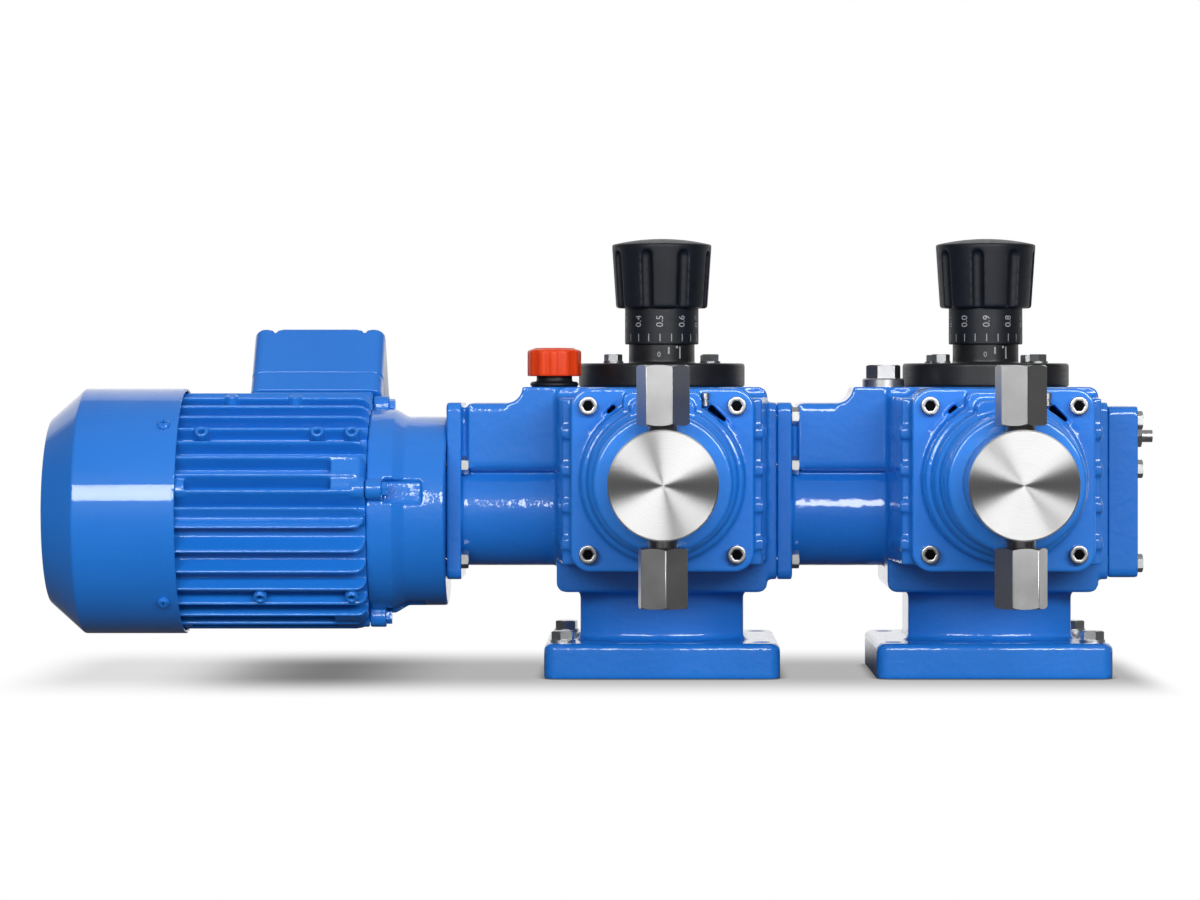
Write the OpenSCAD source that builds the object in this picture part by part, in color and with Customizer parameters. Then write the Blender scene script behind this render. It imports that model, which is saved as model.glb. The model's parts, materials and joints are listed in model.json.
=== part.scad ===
// Twin plunger metering pump: one flange motor drives two worm gear units in line,
// and each unit strokes a plunger in its own stainless head, set by a micrometer knob.
// X runs along the motor and worm shafts, the pump heads face -Y, and Z = 0 is the floor.

/* [Layout] */
// Height of both plunger axes
plunger_h = 125; // [124:0.5:128]

/* [Foot and column] */
// Half width of a foot
foot_half = 73.5; // [72:0.5:80]
// Front edge of a foot, before the unit axis
foot_front = 78.6; // [74:0.2:90]
// Rear edge of a foot, behind the unit axis
foot_rear = 80; // [74:0.5:90]
// Thickness of a foot
foot_t = 22; // [16:0.5:26]
// Corner radius of a foot
foot_corner = 8; // [3:0.5:12]
// Width of the rounded top edge of a foot
foot_edge = 2.5; // [1:0.25:4]
// Distance of a foot hole from the unit axis, along X
foot_hole_x = 62; // [60:0.5:65]
// Distance of a foot hole from the unit axis, along Y
foot_hole_y = 60; // [56:0.5:64]
// Diameter of a foot hole
foot_hole_d = 9; // [8.5:0.1:11]
// Half width of the column
column_half = 51.5; // [46:0.5:54]
// Reach of the column's bowed front and rear
column_reach = 48; // [44:0.5:56]
// Radius of the bow
column_bow_r = 90; // [80:1:140]
// Radius of the hollow where the column meets the foot and the housing
column_fillet = 4; // [2:0.5:6]

/* [Gear housing] */
// Half width of the housing
housing_half = 66; // [65:0.5:67]
// Front wall of the housing
housing_front = 60; // [59:0.5:66]
// Rear wall of the housing
housing_rear = 55; // [54:0.5:62]
// Underside of the housing
housing_bottom = 53; // [50:0.5:54]
// Top face of the housing
housing_top = 181.5; // [180:0.5:186]
// Corner radius of the housing
housing_corner = 6; // [3:0.5:9]
// Half width of the square neck that carries the lantern
neck_half = 55.5; // [54:0.5:57]
// Front face of the neck
neck_front = 129; // [124:0.5:132]
// Corner radius of the neck and of the lantern plate
neck_corner = 12; // [8:0.5:14]
// Bore of the neck
neck_bore_r = 46; // [42:0.5:47]
// Ribs on each side of the neck
rib_count = 4; // [2:1:4]
// Distance between the ribs
rib_pitch = 22.6; // [16:0.1:23]
// Height of a rib
rib_h = 7; // [4:0.5:9]
// Height of the middle of the ribs above the floor
rib_mid_h = 119.5; // [118:0.5:122]
// Radius of the chamber that holds the worm wheel
chamber_r = 38; // [36:0.5:39]
// Floor of the chamber
chamber_floor = 64; // [60:0.5:68]

/* [Side tube and flanges] */
// Reach of the left flange from the unit axis
tube_reach = 135; // [133:0.5:138]
// Reach of the right flange from the unit axis
flange_right = 72; // [70:0.5:76]
// Thickness of the left flange
flange_t = 9.5; // [7:0.5:12]
// Half width of the side flanges about the worm axis
flange_half = 36; // [35:0.5:37]
// Lower edge of the side flanges
flange_bottom = 61; // [60:0.5:62]
// Upper edge of the side flanges
flange_top = 171.8; // [171:0.2:175]
// Corner radius of the side flanges
flange_corner = 5; // [2:0.5:8]
// Outer radius of the tube round the worm shaft
tube_r = 34.5; // [32:0.5:35]
// Bore of the tube round the couplings
tube_bore_r = 20; // [19:0.5:22]
// Lower edge of the raised box on the tube
hood_bottom = 129; // [126:0.5:132]
// Half width of the raised box
hood_half = 34; // [32:0.5:35]
// Where the raised box sweeps up to the housing top
hood_rise_x = 87.4; // [86:0.2:90]
// Radius of that sweep
hood_sweep_r = 10; // [8:0.5:10]
// Gap for the screw heads between the left flange and the raised box
hood_gap = 5.2; // [4.6:0.2:8]
// Radius of the locating spigots
spigot_r = 30; // [26:0.5:33]
// Length of a locating spigot
spigot_l = 3; // [2:0.5:4]
// Distance of the flange screws from the worm axis, both ways
side_screw_pitch = 29.5; // [28:0.5:31]
// Height of the upper flange screws
side_screw_top = 163; // [160:0.5:165]
// Thickness of the end cover
cover_t = 18.6; // [12:0.2:20]

/* [Lantern and pump head] */
// Thickness of the lantern plate
plate_t = 12; // [9:0.5:14]
// Distance of the plate screws from the plunger axis, both ways
plate_screw_pitch = 45; // [44:0.25:45.5]
// Radius of the lantern's rear boss
boss_r = 50; // [48:0.5:51]
// Length of the rear boss
boss_l = 22; // [16:0.5:30]
// Radius of the second step
step_r = 45.5; // [44:0.5:47]
// Length of the second step
step_l = 17; // [10:0.5:22]
// Radius of the barrel
barrel_r = 41; // [38:0.5:43]
// Front face of the barrel, before the unit axis
barrel_front = 235; // [225:1:240]
// Bore of the lantern
lantern_bore_r = 30; // [26:0.5:34]
// Half width of the saddle over the lantern
saddle_half = 23.5; // [20:0.5:25]
// Length of a window beside the saddle
window_l = 23; // [16:0.5:25]
// Opening of a window
window_w = 3.6; // [2:0.2:4]
// Radius of the stainless head
head_r = 32; // [30:0.5:36]
// Thickness of the stainless head
head_t = 48; // [44:0.5:56]
// Radius of the spigot behind the head
head_spigot_r = 22; // [20:0.5:25]
// Distance of the valves before the barrel
valve_reach = 23; // [21:0.5:26]
// Width across flats of a valve
valve_af = 27; // [25:0.5:30]
// Length of a valve's hexagon
valve_l = 35; // [34:0.1:40]
// Neck showing between the head and the suction valve
suction_neck_l = 4.6; // [2:0.2:6]
// Neck showing between the head and the discharge valve
discharge_neck_l = 2.2; // [1:0.2:6]
// Radius of a valve neck
valve_neck_r = 8.5; // [8:0.25:9.5]
// Radius of a valve port
port_r = 7.5; // [6:0.25:9]
// Depth of a valve port
port_l = 12; // [8:0.5:13]
// Radius of a valve ball
ball_r = 4.75; // [4:0.25:5]
// Lift of a valve ball
ball_lift = 2.5; // [1:0.25:3]
// Radius of a plunger
plunger_r = 8; // [6:0.25:8.5]

/* [Drive] */
// Distance between the worm axis and the wheel axis
worm_offset = 24; // [24:0.1:25]
// Teeth on a worm wheel
wheel_teeth = 26; // [20:1:32]
// Pitch radius of a worm wheel
wheel_r = 16.25; // [15:0.05:16.25]
// Half depth of the worm thread
thread_half = 1.1; // [0.5:0.1:1.2]
// Face width of a worm wheel
wheel_w = 7; // [5:0.5:8]
// Threads shown along a worm
worm_turns = 4; // [2:1:6]
// Gap between the worm thread and the yoke above it
yoke_gap = 4.15; // [3.8:0.05:5]
// Throw of an eccentric
throw = 4; // [2:0.5:4.5]
// Radius of an eccentric
eccentric_r = 8; // [7:0.5:8.5]
// Radius of a wheel spindle
spindle_r = 7; // [6:0.5:7.5]
// Radius of a crosshead rod
crosshead_r = 10; // [9.5:0.25:10.5]
// Radius of a worm shaft in its bearings
journal_r = 7.5; // [7:0.25:8]
// Outer radius of a worm bearing
bearing_r = 17.5; // [16:0.5:18]
// Width of a worm bearing
bearing_w = 11; // [9:0.5:12]

/* [Stroke setting] */
// Radius of the black top flange
top_r = 53; // [51:0.5:54]
// Thickness of the top flange
top_t = 15; // [10:0.5:18]
// Circle of the top flange bolts
top_pcd = 87; // [86:0.5:89]
// Radius of the sleeve on the top flange
sleeve_r = 21; // [18:0.5:22]
// Height of the sleeve
sleeve_h = 23; // [18:0.5:24]
// Radius of the scale ring
ring_r = 23.5; // [22.5:0.25:26]
// Height of the scale ring
ring_h = 23; // [18:0.5:26]
// Gap between the top flange and the scale ring
ring_gap = 12.1; // [11:0.1:16]
// Radius of the knob at its lower edge
knob_low_r = 29.2; // [27:0.2:31]
// Radius of the knob at its shoulder
knob_high_r = 31.8; // [29:0.2:34]
// Height of the knob's grip
knob_h = 40; // [34:0.5:44]
// Height of the knob's dome
knob_dome = 4.4; // [2:0.2:6]
// Flutes round the knob
flute_count = 8; // [6:1:12]
// Radius of a flute
flute_r = 4; // [2.5:0.25:5]
// Radius of the stroke spindle
stroke_r = 8; // [6:0.25:9]

/* [Motor] */
// Radius of the motor's drive end flange
motor_flange_r = 59.75; // [57:0.25:62]
// Thickness of that flange
motor_flange_t = 25; // [18:0.5:28]
// Length of the tapered part of the drive end shield
motor_taper_l = 8; // [7:0.5:10]
// Radius of the drive end shield at the frame
shield_r = 64.5; // [63:0.25:66]
// Length of the drive end shield's rim
shield_rim_l = 15.5; // [13:0.5:18]
// Length of the finned frame
frame_l = 120; // [110:1:150]
// Outer radius of the frame's tube
frame_r = 64.5; // [63:0.25:66]
// Inner radius of the frame's tube
frame_bore_r = 60.5; // [58:0.25:61]
// Radius over the fins
fin_r = 74.5; // [72:0.25:75]
// Distance between the parallel fins of a lower quarter
fin_pitch = 13.2; // [12.8:0.1:13.6]
// Thickness of a fin at its root
fin_t = 2.8; // [2:0.1:3.4]
// Length of the smooth pads beside the lugs
fin_pad_l = 21; // [16:1:26]
// Radius of the rounded fin ends
fin_end_r = 8; // [4:0.5:9]
// Outer radius of the fan cowl
cowl_r = 77.5; // [77:0.25:82]
// Wall of the fan cowl
cowl_wall = 2; // [1:0.25:2]
// Length of the fan cowl
cowl_l = 85; // [80:1:100]
// Radius of the cowl's flat back
cowl_back_r = 58.5; // [54:0.5:66]
// Length of the cowl's bevelled edge
cowl_bevel_l = 21.5; // [10:0.5:26]
// Rings of slots in the cowl's back
grille_rings = 4; // [2:1:5]
// Radius of the circle that the shield screws lie on
lug_circle_r = 68; // [67:0.25:69]
// Angle of the first shield screw above the front
lug_angle = 13; // [10:1:16]
// Radius of the motor shaft in its bearings
motor_shaft_r = 8.5; // [8:0.25:10]
// Outer radius of a motor bearing
motor_bearing_r = 20; // [18:0.5:22]
// Width of a motor bearing
motor_bearing_w = 12; // [10:0.5:14]

/* [Terminal box] */
// Angle of the terminal box round the motor, from the front
terminal_angle = 135; // [130:1:140]
// Length of the terminal box along the motor
terminal_l = 82; // [70:0.5:90]
// Width of the terminal box round the motor
terminal_w = 84; // [76:0.5:86]
// Distance of the terminal box seat from the motor axis
terminal_seat = 65; // [64.5:0.25:67]
// Height of the terminal base
terminal_base_h = 16; // [13:0.5:20]
// Height of the terminal lid
terminal_lid_h = 38; // [24:0.5:44]
// Wall of the terminal box
terminal_wall = 3; // [2:0.25:4]
// Corner radius of the terminal box
terminal_corner = 7; // [4:0.5:9]
// Gap between the drive end shield and the terminal box
terminal_gap = 5; // [-6:0.5:10]

/* [Fillers and plugs] */
// Distance of the filler from the unit axis, towards the motor
filler_x = 67.7; // [66:0.2:70]
// Distance of the filler before the unit axis
filler_y = 42; // [38:0.5:43]
// Radius of the vent base
vent_base_r = 15; // [13:0.25:15.5]
// Height of the vent base
vent_base_h = 5.5; // [4:0.5:8]
// Radius of the vent cap
vent_cap_r = 16.3; // [14:0.1:17]
// Height of the vent cap
vent_cap_h = 19; // [12:0.5:24]
// Ridges round the vent cap
vent_ridges = 12; // [8:1:18]
// Radius of the filler plug's collar
plug_collar_r = 13.1; // [12:0.1:14.5]

/* [Fits] */
// Radial clearance of running fits
run_gap = 0.05; // [0.03:0.01:0.08]
// Radial clearance of located fits
seat_gap = 0.05; // [0.02:0.01:0.1]
// Clearance of screws in their holes
screw_gap = 0.2; // [0.1:0.05:0.4]
// Clearance between the worm thread and the wheel teeth
mesh_gap = 0.35; // [0.3:0.05:0.5]
// Clearance of moving pieces that only pass each other
pass_gap = 0.6; // [0.4:0.1:0.8]

/* [Hidden] */
$fn = 96;
eps = 0.01;
blue = "#2f78d0";
black = "#1b1d20";
steel = "#b9bdc1";
bronze = "#b08d57";
orange = "#e2491b";

// Screw sizes, each [shank radius, width across flats, head height]
m4 = [2, 7, 2.8];
m5 = [2.5, 8, 3.5];
m6 = [3, 10, 4.4];
m8 = [4, 13, 5.4];
cap_head_r = 5.65;
cap_head_h = 6;
washer_r = 8;
washer_t = 1.6;

// Gear unit
// Distance between the axes of the two gear units, whose flanges meet
unit_pitch = tube_reach + flange_right;
hood_top = flange_top - 0.3;
hood_start = tube_reach - flange_t - hood_gap;
fillet_bite = 0.06;
rib_setback = 4;
neck_floor = housing_front + 4;
front_of_plate = neck_front + plate_t;
wall_bore_l = bearing_w + 1;
bearing_out = housing_half - 4;
bearing_in = bearing_out - wall_bore_l;
worm_bore_r = bearing_r - 4.5;
spindle_foot = chamber_floor - 11;
cover_face = flange_right + cover_t;
level_plug_h = 150.4;
drain_h = housing_bottom + 13;
drain_r = 6;

// Worm gear, with the thread on the worm's near side meeting the wheel at rest
worm_r = worm_offset - wheel_r;
worm_pitch = 2 * PI * wheel_r / wheel_teeth;
worm_l = worm_turns * worm_pitch;
worm_core_r = worm_r - thread_half - 0.4;
wheel_lean = atan(worm_pitch / (2 * PI * worm_r));
wheel_twist = wheel_w * tan(wheel_lean) / wheel_r * 180 / PI;
wheel_hub_r = spindle_r + 4;

// Eccentric and crosshead
stroke = 2 * throw;
yoke_h = 18;
// Height of the motor and worm axis
worm_h = plunger_h - yoke_h / 2 - yoke_gap - thread_half - worm_r;
sweep_r = throw + eccentric_r;
window_half = sweep_r + pass_gap;
yoke_wall = 4.4;
yoke_front = window_half + yoke_wall;
yoke_rear = window_half + stroke + yoke_wall;
rear_rod_r = 7;
rear_rod_l = 17;
rod_end = neck_front - 1;
rod_socket = 12;
wheel_floor = worm_h - wheel_w / 2 - 5;
wheel_roof = worm_h + wheel_w / 2 + 3;

// Pump head and valves
valve_y = barrel_front + valve_reach;
stop_pin_r = 1.7;
stop_pin_l = 6;
stop_pin_reach = 1.9;
// How far the foot of a stop pin lies below the top edge of the plate
stop_pin_drop = 7;
head_spigot_l = 22;
packing_r = 14;
packing_l = 20;
plunger_tip = barrel_front + 10;
plunger_room = plunger_tip + stroke + 6;
neck_depth = 15;
chamber_bore_r = 6;
seat_bore_r = 3.5;
cage_r = 6.2;
ball_seat_gap = 0.25;
ball_rise = sqrt(ball_r * ball_r - seat_bore_r * seat_bore_r) + ball_seat_gap;
cage_l = ball_rise + ball_r + ball_lift + 0.8;
seat_l = 2.4;

// Stroke setting
top_face = housing_top + top_t;
ring_z = top_face + ring_gap;
knob_z = ring_z + ring_h;
knob_shoulder = knob_z + knob_h;
knob_top = knob_shoulder + knob_dome;
knob_socket = knob_h * 0.75;
stroke_foot = plunger_h + yoke_h / 2 + 26;
top_spigot_l = 5;
flute_lean = atan((knob_high_r - knob_low_r) / knob_h);

// Motor, along its own axis from the face that meets the first gear unit
motor_x = -unit_pitch / 2 - tube_reach;
rim_z = motor_flange_t + motor_taper_l;
frame_z = rim_z + shield_rim_l;
frame_end = frame_z + frame_l;
cowl_z = frame_end - 3;
cowl_end = cowl_z + cowl_l;
shield_t = 6;
spigot_in = 4;
lug_r = 6.5;
lug_l = 8;
lug_z = frame_z - 10.2;
// Where the fins of an upper quarter stand beside its middle, and the bosses: angle, then distance
top_fins = [-49.5, -41, -32, -21, -10.3, 0.7, 12, 24, 37];
bosses = [[76, 87], [76, 47], [43, 102.4], [43, 30.7], [43, 9.3], [-45, 66.3], [-45, 9.4]];
frame_boss_r = 4.2;
end_step = 0.3;
lug_floor_r = 57.5;
lug_pocket_l = 24;
front_bearing_z = 30;
rear_bearing_z = frame_end + 4;
cowl_lug_w = 12;
cowl_lug_l = 14;
cowl_screw_z = cowl_z + 9;
core_z = frame_z + 27;
core_l = 70;
winding_l = 13;
core_bore_r = 37;
air_gap = 0.5;
fan_z = rear_bearing_z + motor_bearing_w + 10;
fan_r = cowl_r - 12;
fan_l = 26;
shaft_tip = 40;
fan_bore_r = 7;
shaft_left = -tube_reach + shaft_tip + 0.5;
shaft_right = flange_right + shaft_tip - 0.5;
coupling_r = 16;
coupling_l = 34;
terminal_z = frame_z - terminal_gap;
terminal_lid_z = terminal_seat + terminal_base_h;
pocket_r = 5;
pocket_depth = 6;
gland_r = 7;
// Reach of the gland into the box, with its foot let into the floor
gland_in = terminal_wall + 2;

function unit_x(i) = (i == 1 ? -1 : 1) * unit_pitch / 2;

// Placing
module at_unit(i) {
    translate([unit_x(i), 0, 0]) children();
}

// Local z becomes +X, local x becomes +Y and local y becomes +Z
module along_x() {
    rotate([90, 0, 90]) children();
}

// Local z becomes -Y, towards the pump head
module along_front(h) {
    translate([0, 0, h]) rotate([90, 0, 0]) children();
}

// Local z runs along the worm axis from the unit's own axis
module on_worm(x = 0) {
    translate([x, -worm_offset, worm_h]) along_x() children();
}

// Local z runs from the motor's drive face to its fan, x to the front and y up
module on_motor() {
    translate([motor_x, -worm_offset, worm_h]) rotate([90, 0, -90]) children();
}

// Local z runs out of the motor at the terminal box, x along the motor and y round it
module on_terminal() {
    on_motor() rotate([0, 0, terminal_angle]) translate([0, 0, terminal_z])
        rotate([0, 90, 0]) translate([-terminal_l / 2, 0, 0]) children();
}

module corners(x, y) {
    for (i = [-1, 1], j = [-1, 1]) translate([i * x, j * y, 0]) children();
}

// Basic shapes
module rounded(x0, y0, x1, y1, r) {
    translate([x0 + r, y0]) square([x1 - x0 - 2 * r, y1 - y0]);
    translate([x0, y0 + r]) square([x1 - x0, y1 - y0 - 2 * r]);
    for (x = [x0 + r, x1 - r], y = [y0 + r, y1 - r]) translate([x, y]) circle(r);
}

module rounded_square(half, r) {
    rounded(-half, -half, half, half, r);
}

module ring(r_out, r_in, h) {
    linear_extrude(h) difference() {
        circle(r_out);
        circle(r_in);
    }
}

module hexagon(af, h) {
    cylinder(d = af / cos(30), h = h, $fn = 6);
}

// Hexagon with its corners turned off at the top, and at the foot too where asked
module hex_body(af, h, both = false) {
    r = af / cos(30) / 2;
    c = (r - af / 2) * 0.9;
    intersection() {
        hexagon(af, h);
        rotate_extrude() polygon([[0, 0], [both ? r - c : r + eps, 0], [r + eps, both ? c * 0.6 : 0],
            [r + eps, h - c * 0.6], [r - c, h], [0, h]]);
    }
}

// Screw that points down from z = 0, with its head above
module hex_screw(size, l) {
    translate([0, 0, -l]) cylinder(r = size[0], h = l + eps);
    hex_body(size[1], size[2]);
}

module socket_screw(r, l) {
    translate([0, 0, -l]) cylinder(r = r, h = l + eps);
    difference() {
        cylinder(r = cap_head_r, h = cap_head_h);
        translate([0, 0, cap_head_h / 2]) hexagon(cap_head_r, cap_head_h);
    }
}

module pan_screw(r, l, head_r, head_h) {
    translate([0, 0, -l]) cylinder(r = r, h = l + eps);
    difference() {
        rotate_extrude() polygon([[0, 0], [head_r, 0], [head_r, head_h * 0.5],
            [head_r * 0.7, head_h], [0, head_h]]);
        for (a = [0, 90]) rotate([0, 0, a]) translate([-head_r * 0.55, -0.4, head_h * 0.4])
            cube([head_r * 1.1, 0.8, head_h]);
    }
}

module bearing(r_out, r_in, w) {
    groove = w * 0.12;
    mid = (r_out + r_in) / 2;
    half = (r_out - r_in) * 0.22;
    difference() {
        ring(r_out, r_in, w);
        translate([0, 0, -eps]) ring(mid + half, mid - half, groove);
        translate([0, 0, w - groove]) ring(mid + half, mid - half, groove + eps);
    }
}

// Gear housing
module column_outline(grow = 0) {
    bow = column_bow_r + grow;
    back = column_bow_r - column_reach;
    intersection() {
        square([2 * (column_half + grow), 4 * column_reach], center = true);
        translate([0, back]) circle(bow);
        translate([0, -back]) circle(bow);
    }
}

// Hollow fillet round the column, which meets a flat face at z = 0
module column_flare() {
    r = column_fillet;
    reach = r - fillet_bite;
    back = column_bow_r - column_reach;
    difference() {
        translate([0, 0, -1]) linear_extrude(reach + 1) column_outline(r);
        for (side = [-1, 1]) {
            translate([0, side * back, reach]) rotate_extrude()
                translate([column_bow_r + reach, 0]) circle(r);
            translate([side * (column_half + reach), 0, reach]) rotate([90, 0, 0])
                cylinder(r = r, h = 4 * column_reach, center = true);
        }
    }
}

module column() {
    translate([0, 0, foot_t - 1]) linear_extrude(housing_bottom - foot_t + 2) column_outline();
    translate([0, 0, foot_t]) column_flare();
    translate([0, 0, housing_bottom]) mirror([0, 0, 1]) column_flare();
}

module foot() {
    difference() {
        hull() {
            linear_extrude(foot_t - foot_edge)
                rounded(-foot_half, -foot_front, foot_half, foot_rear, foot_corner, $fn = 32);
            linear_extrude(foot_t)
                rounded(foot_edge - foot_half, foot_edge - foot_front, foot_half - foot_edge,
                    foot_rear - foot_edge, foot_corner, $fn = 32);
        }
        corners(foot_hole_x, foot_hole_y) translate([0, 0, -1])
            cylinder(d = foot_hole_d, h = foot_t + 2);
    }
}

module side_profile(half, low, high) {
    rounded(-half, low - worm_h, half, high - worm_h, flange_corner);
}

module side_tube() {
    on_worm(-tube_reach) linear_extrude(flange_t)
        side_profile(flange_half, flange_bottom, flange_top);
    on_worm(-tube_reach) cylinder(r = tube_r, h = tube_reach - housing_half + 1);
    on_worm(-hood_start) linear_extrude(hood_start - housing_half + 1)
        side_profile(hood_half, hood_bottom, hood_top);
    hood_rise();
}

// Sweep from the raised box up to the top face that carries the filler
module hood_rise() {
    rise = housing_top - hood_top;
    low = hood_top - hood_sweep_r;
    front = worm_offset + hood_half;
    translate([0, -front, 0]) rotate([90, 0, 0]) mirror([0, 0, 1])
        linear_extrude(2 * hood_half) difference() {
            translate([-hood_rise_x - hood_sweep_r, low])
                square([hood_rise_x + hood_sweep_r - housing_half + 10, hood_sweep_r + rise]);
            translate([-hood_rise_x - hood_sweep_r, hood_top + hood_sweep_r - fillet_bite])
                circle(hood_sweep_r);
        }
}

module neck() {
    first = rib_mid_h - plunger_h - rib_pitch * (rib_count - 1) / 2;
    along_front(plunger_h) translate([0, 0, housing_front - 1]) {
        linear_extrude(neck_front - housing_front + 1) rounded_square(neck_half, neck_corner);
        linear_extrude(neck_front - housing_front - rib_setback + 1)
            for (i = [0 : rib_count - 1]) translate([0, first + i * rib_pitch])
                rounded(-housing_half, -rib_h / 2, housing_half, rib_h / 2, 2);
    }
}

module housing_cavities() {
    // Chamber, open at the top, and the spindle's lower bearing
    translate([0, 0, chamber_floor]) cylinder(r = chamber_r, h = housing_top);
    translate([0, 0, spindle_foot - 1]) cylinder(r = spindle_r + run_gap, h = 20);
    // Worm bore with a bearing seat at each wall
    on_worm(-tube_reach - 1) cylinder(r = tube_bore_r, h = tube_reach + 1 - bearing_out);
    on_worm(-bearing_out - 1) cylinder(r = bearing_r + seat_gap, h = wall_bore_l + 1);
    on_worm(-bearing_in - 1) cylinder(r = worm_bore_r, h = 2 * bearing_in + 2);
    on_worm(bearing_in) cylinder(r = bearing_r + seat_gap, h = wall_bore_l + 1);
    on_worm(bearing_out) cylinder(r = tube_bore_r, h = flange_right);
    on_worm(-tube_reach - 1) cylinder(r = spigot_r + seat_gap, h = spigot_l + 1.5);
    // Crosshead guides and the neck's bore
    along_front(plunger_h) {
        cylinder(r = crosshead_r + run_gap, h = neck_floor + 1);
        translate([0, 0, -yoke_rear - rear_rod_l - 2])
            cylinder(r = rear_rod_r + run_gap, h = yoke_rear + rear_rod_l + 2);
        translate([0, 0, neck_floor]) cylinder(r = neck_bore_r, h = neck_front - neck_floor + 1);
        window_slots(neck_front - 24, 24 + 1);
        corners(plate_screw_pitch, plate_screw_pitch) translate([0, 0, neck_front - 18])
            cylinder(r = m6[0] + seat_gap, h = 19);
    }
    // Tapped holes of the top flange
    top_bolt_places() translate([0, 0, housing_top - 14]) cylinder(r = m6[0] + seat_gap, h = 15);
    // Flange screw holes
    side_screw_places(true) translate([0, 0, -tube_reach - 1])
        cylinder(r = m6[0] + screw_gap, h = flange_t + 2);
    side_screw_places(true) translate([0, 0, flange_right - 14])
        cylinder(r = m6[0] + seat_gap, h = 15);
    // Filler and drain
    translate([-filler_x, -filler_y, housing_top - 12]) cylinder(r = 9, h = 13);
    translate([0, housing_rear - 12, drain_h]) rotate([-90, 0, 0])
        cylinder(r = drain_r + seat_gap, h = 13);
}

// Slots between the saddle and the plate, cut from one depth along the plunger axis
module window_slots(from, depth) {
    for (side = [-1, 1]) rotate([0, 0, 90 - side * 45])
        translate([boss_r - 6, -window_l / 2, from]) cube([6 + window_w, window_l, depth]);
}

module gear_housing(i) {
    color(blue) at_unit(i) difference() {
        union() {
            foot();
            column();
            translate([0, housing_rear, 0]) rotate([90, 0, 0])
                linear_extrude(housing_front + housing_rear)
                    rounded(-housing_half, housing_bottom, housing_half, housing_top,
                        housing_corner);
            neck();
            side_tube();
            on_worm(housing_half - 1) linear_extrude(flange_right - housing_half + 1)
                side_profile(flange_half, flange_bottom, flange_top);
            on_worm(flange_right - 1) cylinder(r = spigot_r, h = spigot_l + 1);
        }
        housing_cavities();
    }
}

module top_bolt_places() {
    for (a = [45 : 90 : 315]) rotate([0, 0, a]) translate([top_pcd / 2, 0, 0]) children();
}

// Screw places on a side flange, with the upper pair only where asked
module side_screw_places(upper) {
    heights = concat([-side_screw_pitch, side_screw_pitch],
        upper ? [side_screw_top - worm_h] : []);
    on_worm() for (x = [-side_screw_pitch, side_screw_pitch], y = heights)
        translate([x, y, 0]) children();
}

module side_screws() {
    color(steel) {
        at_unit(1) side_screw_places(false)
            side_screw(-tube_reach + flange_t, flange_t + 12);
        at_unit(2) side_screw_places(true)
            side_screw(-tube_reach + flange_t, flange_t + 12);
        at_unit(2) side_screw_places(true) side_screw(cover_face, cover_t + 10);
    }
}

module side_screw(z, l) {
    translate([0, 0, z]) rotate([0, 0, 30]) hex_screw(m6, l);
}

module end_cover() {
    color(blue) at_unit(2) difference() {
        on_worm(flange_right) linear_extrude(cover_t)
            side_profile(flange_half, flange_bottom, flange_top);
        on_worm(flange_right - 1) cylinder(r = spigot_r + seat_gap, h = spigot_l + 1.5);
        on_worm(flange_right - 1) cylinder(r = spigot_r - 6, h = spigot_l + 4);
        side_screw_places(true) translate([0, 0, flange_right - 1])
            cylinder(r = m6[0] + screw_gap, h = cover_t + 2);
        translate([cover_face - 10, -worm_offset, level_plug_h]) along_x()
            cylinder(r = 5 + seat_gap, h = 11);
    }
}

module oil_plugs() {
    color(steel) {
        at_unit(2) translate([cover_face, -worm_offset, level_plug_h]) along_x() {
            translate([0, 0, -9]) cylinder(r = 5, h = 9 + eps);
            hex_body(14, 6);
            translate([0, 0, 6 - eps]) cylinder(r = 4, h = 7);
        }
        for (i = [1, 2]) at_unit(i) translate([0, housing_rear, drain_h]) rotate([-90, 0, 0]) {
            translate([0, 0, -11]) cylinder(r = drain_r, h = 11 + eps);
            cylinder(r = 10, h = 2);
            translate([0, 0, 2 - eps]) hex_body(14, 7);
        }
    }
}

module foot_bolts() {
    color(steel) for (i = [1, 2], y = [-foot_hole_y, foot_hole_y])
        translate([unit_x(i) + (i == 1 ? -foot_hole_x : foot_hole_x), y, foot_t]) {
            ring(washer_r, m8[0] + screw_gap, washer_t);
            translate([0, 0, washer_t]) rotate([0, 0, 20 * i]) hex_screw(m8, foot_t);
        }
}

// Lantern
module lantern_profile() {
    base = front_of_plate;
    second = base + boss_l;
    third = second + step_l;
    edge = 1.5;
    polygon([[lantern_bore_r, neck_front], [boss_r - 3, neck_front], [boss_r, base],
        [boss_r - 0.6, second - edge], [boss_r - 0.6 - edge, second], [step_r, second],
        [step_r - 0.6, third - edge], [step_r - 0.6 - edge, third], [barrel_r + 0.6, third],
        [barrel_r, barrel_front - edge], [barrel_r - edge, barrel_front],
        [head_spigot_r + seat_gap, barrel_front],
        [head_spigot_r + seat_gap, barrel_front - head_spigot_l - 1],
        [lantern_bore_r, barrel_front - head_spigot_l - 1]]);
}

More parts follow.
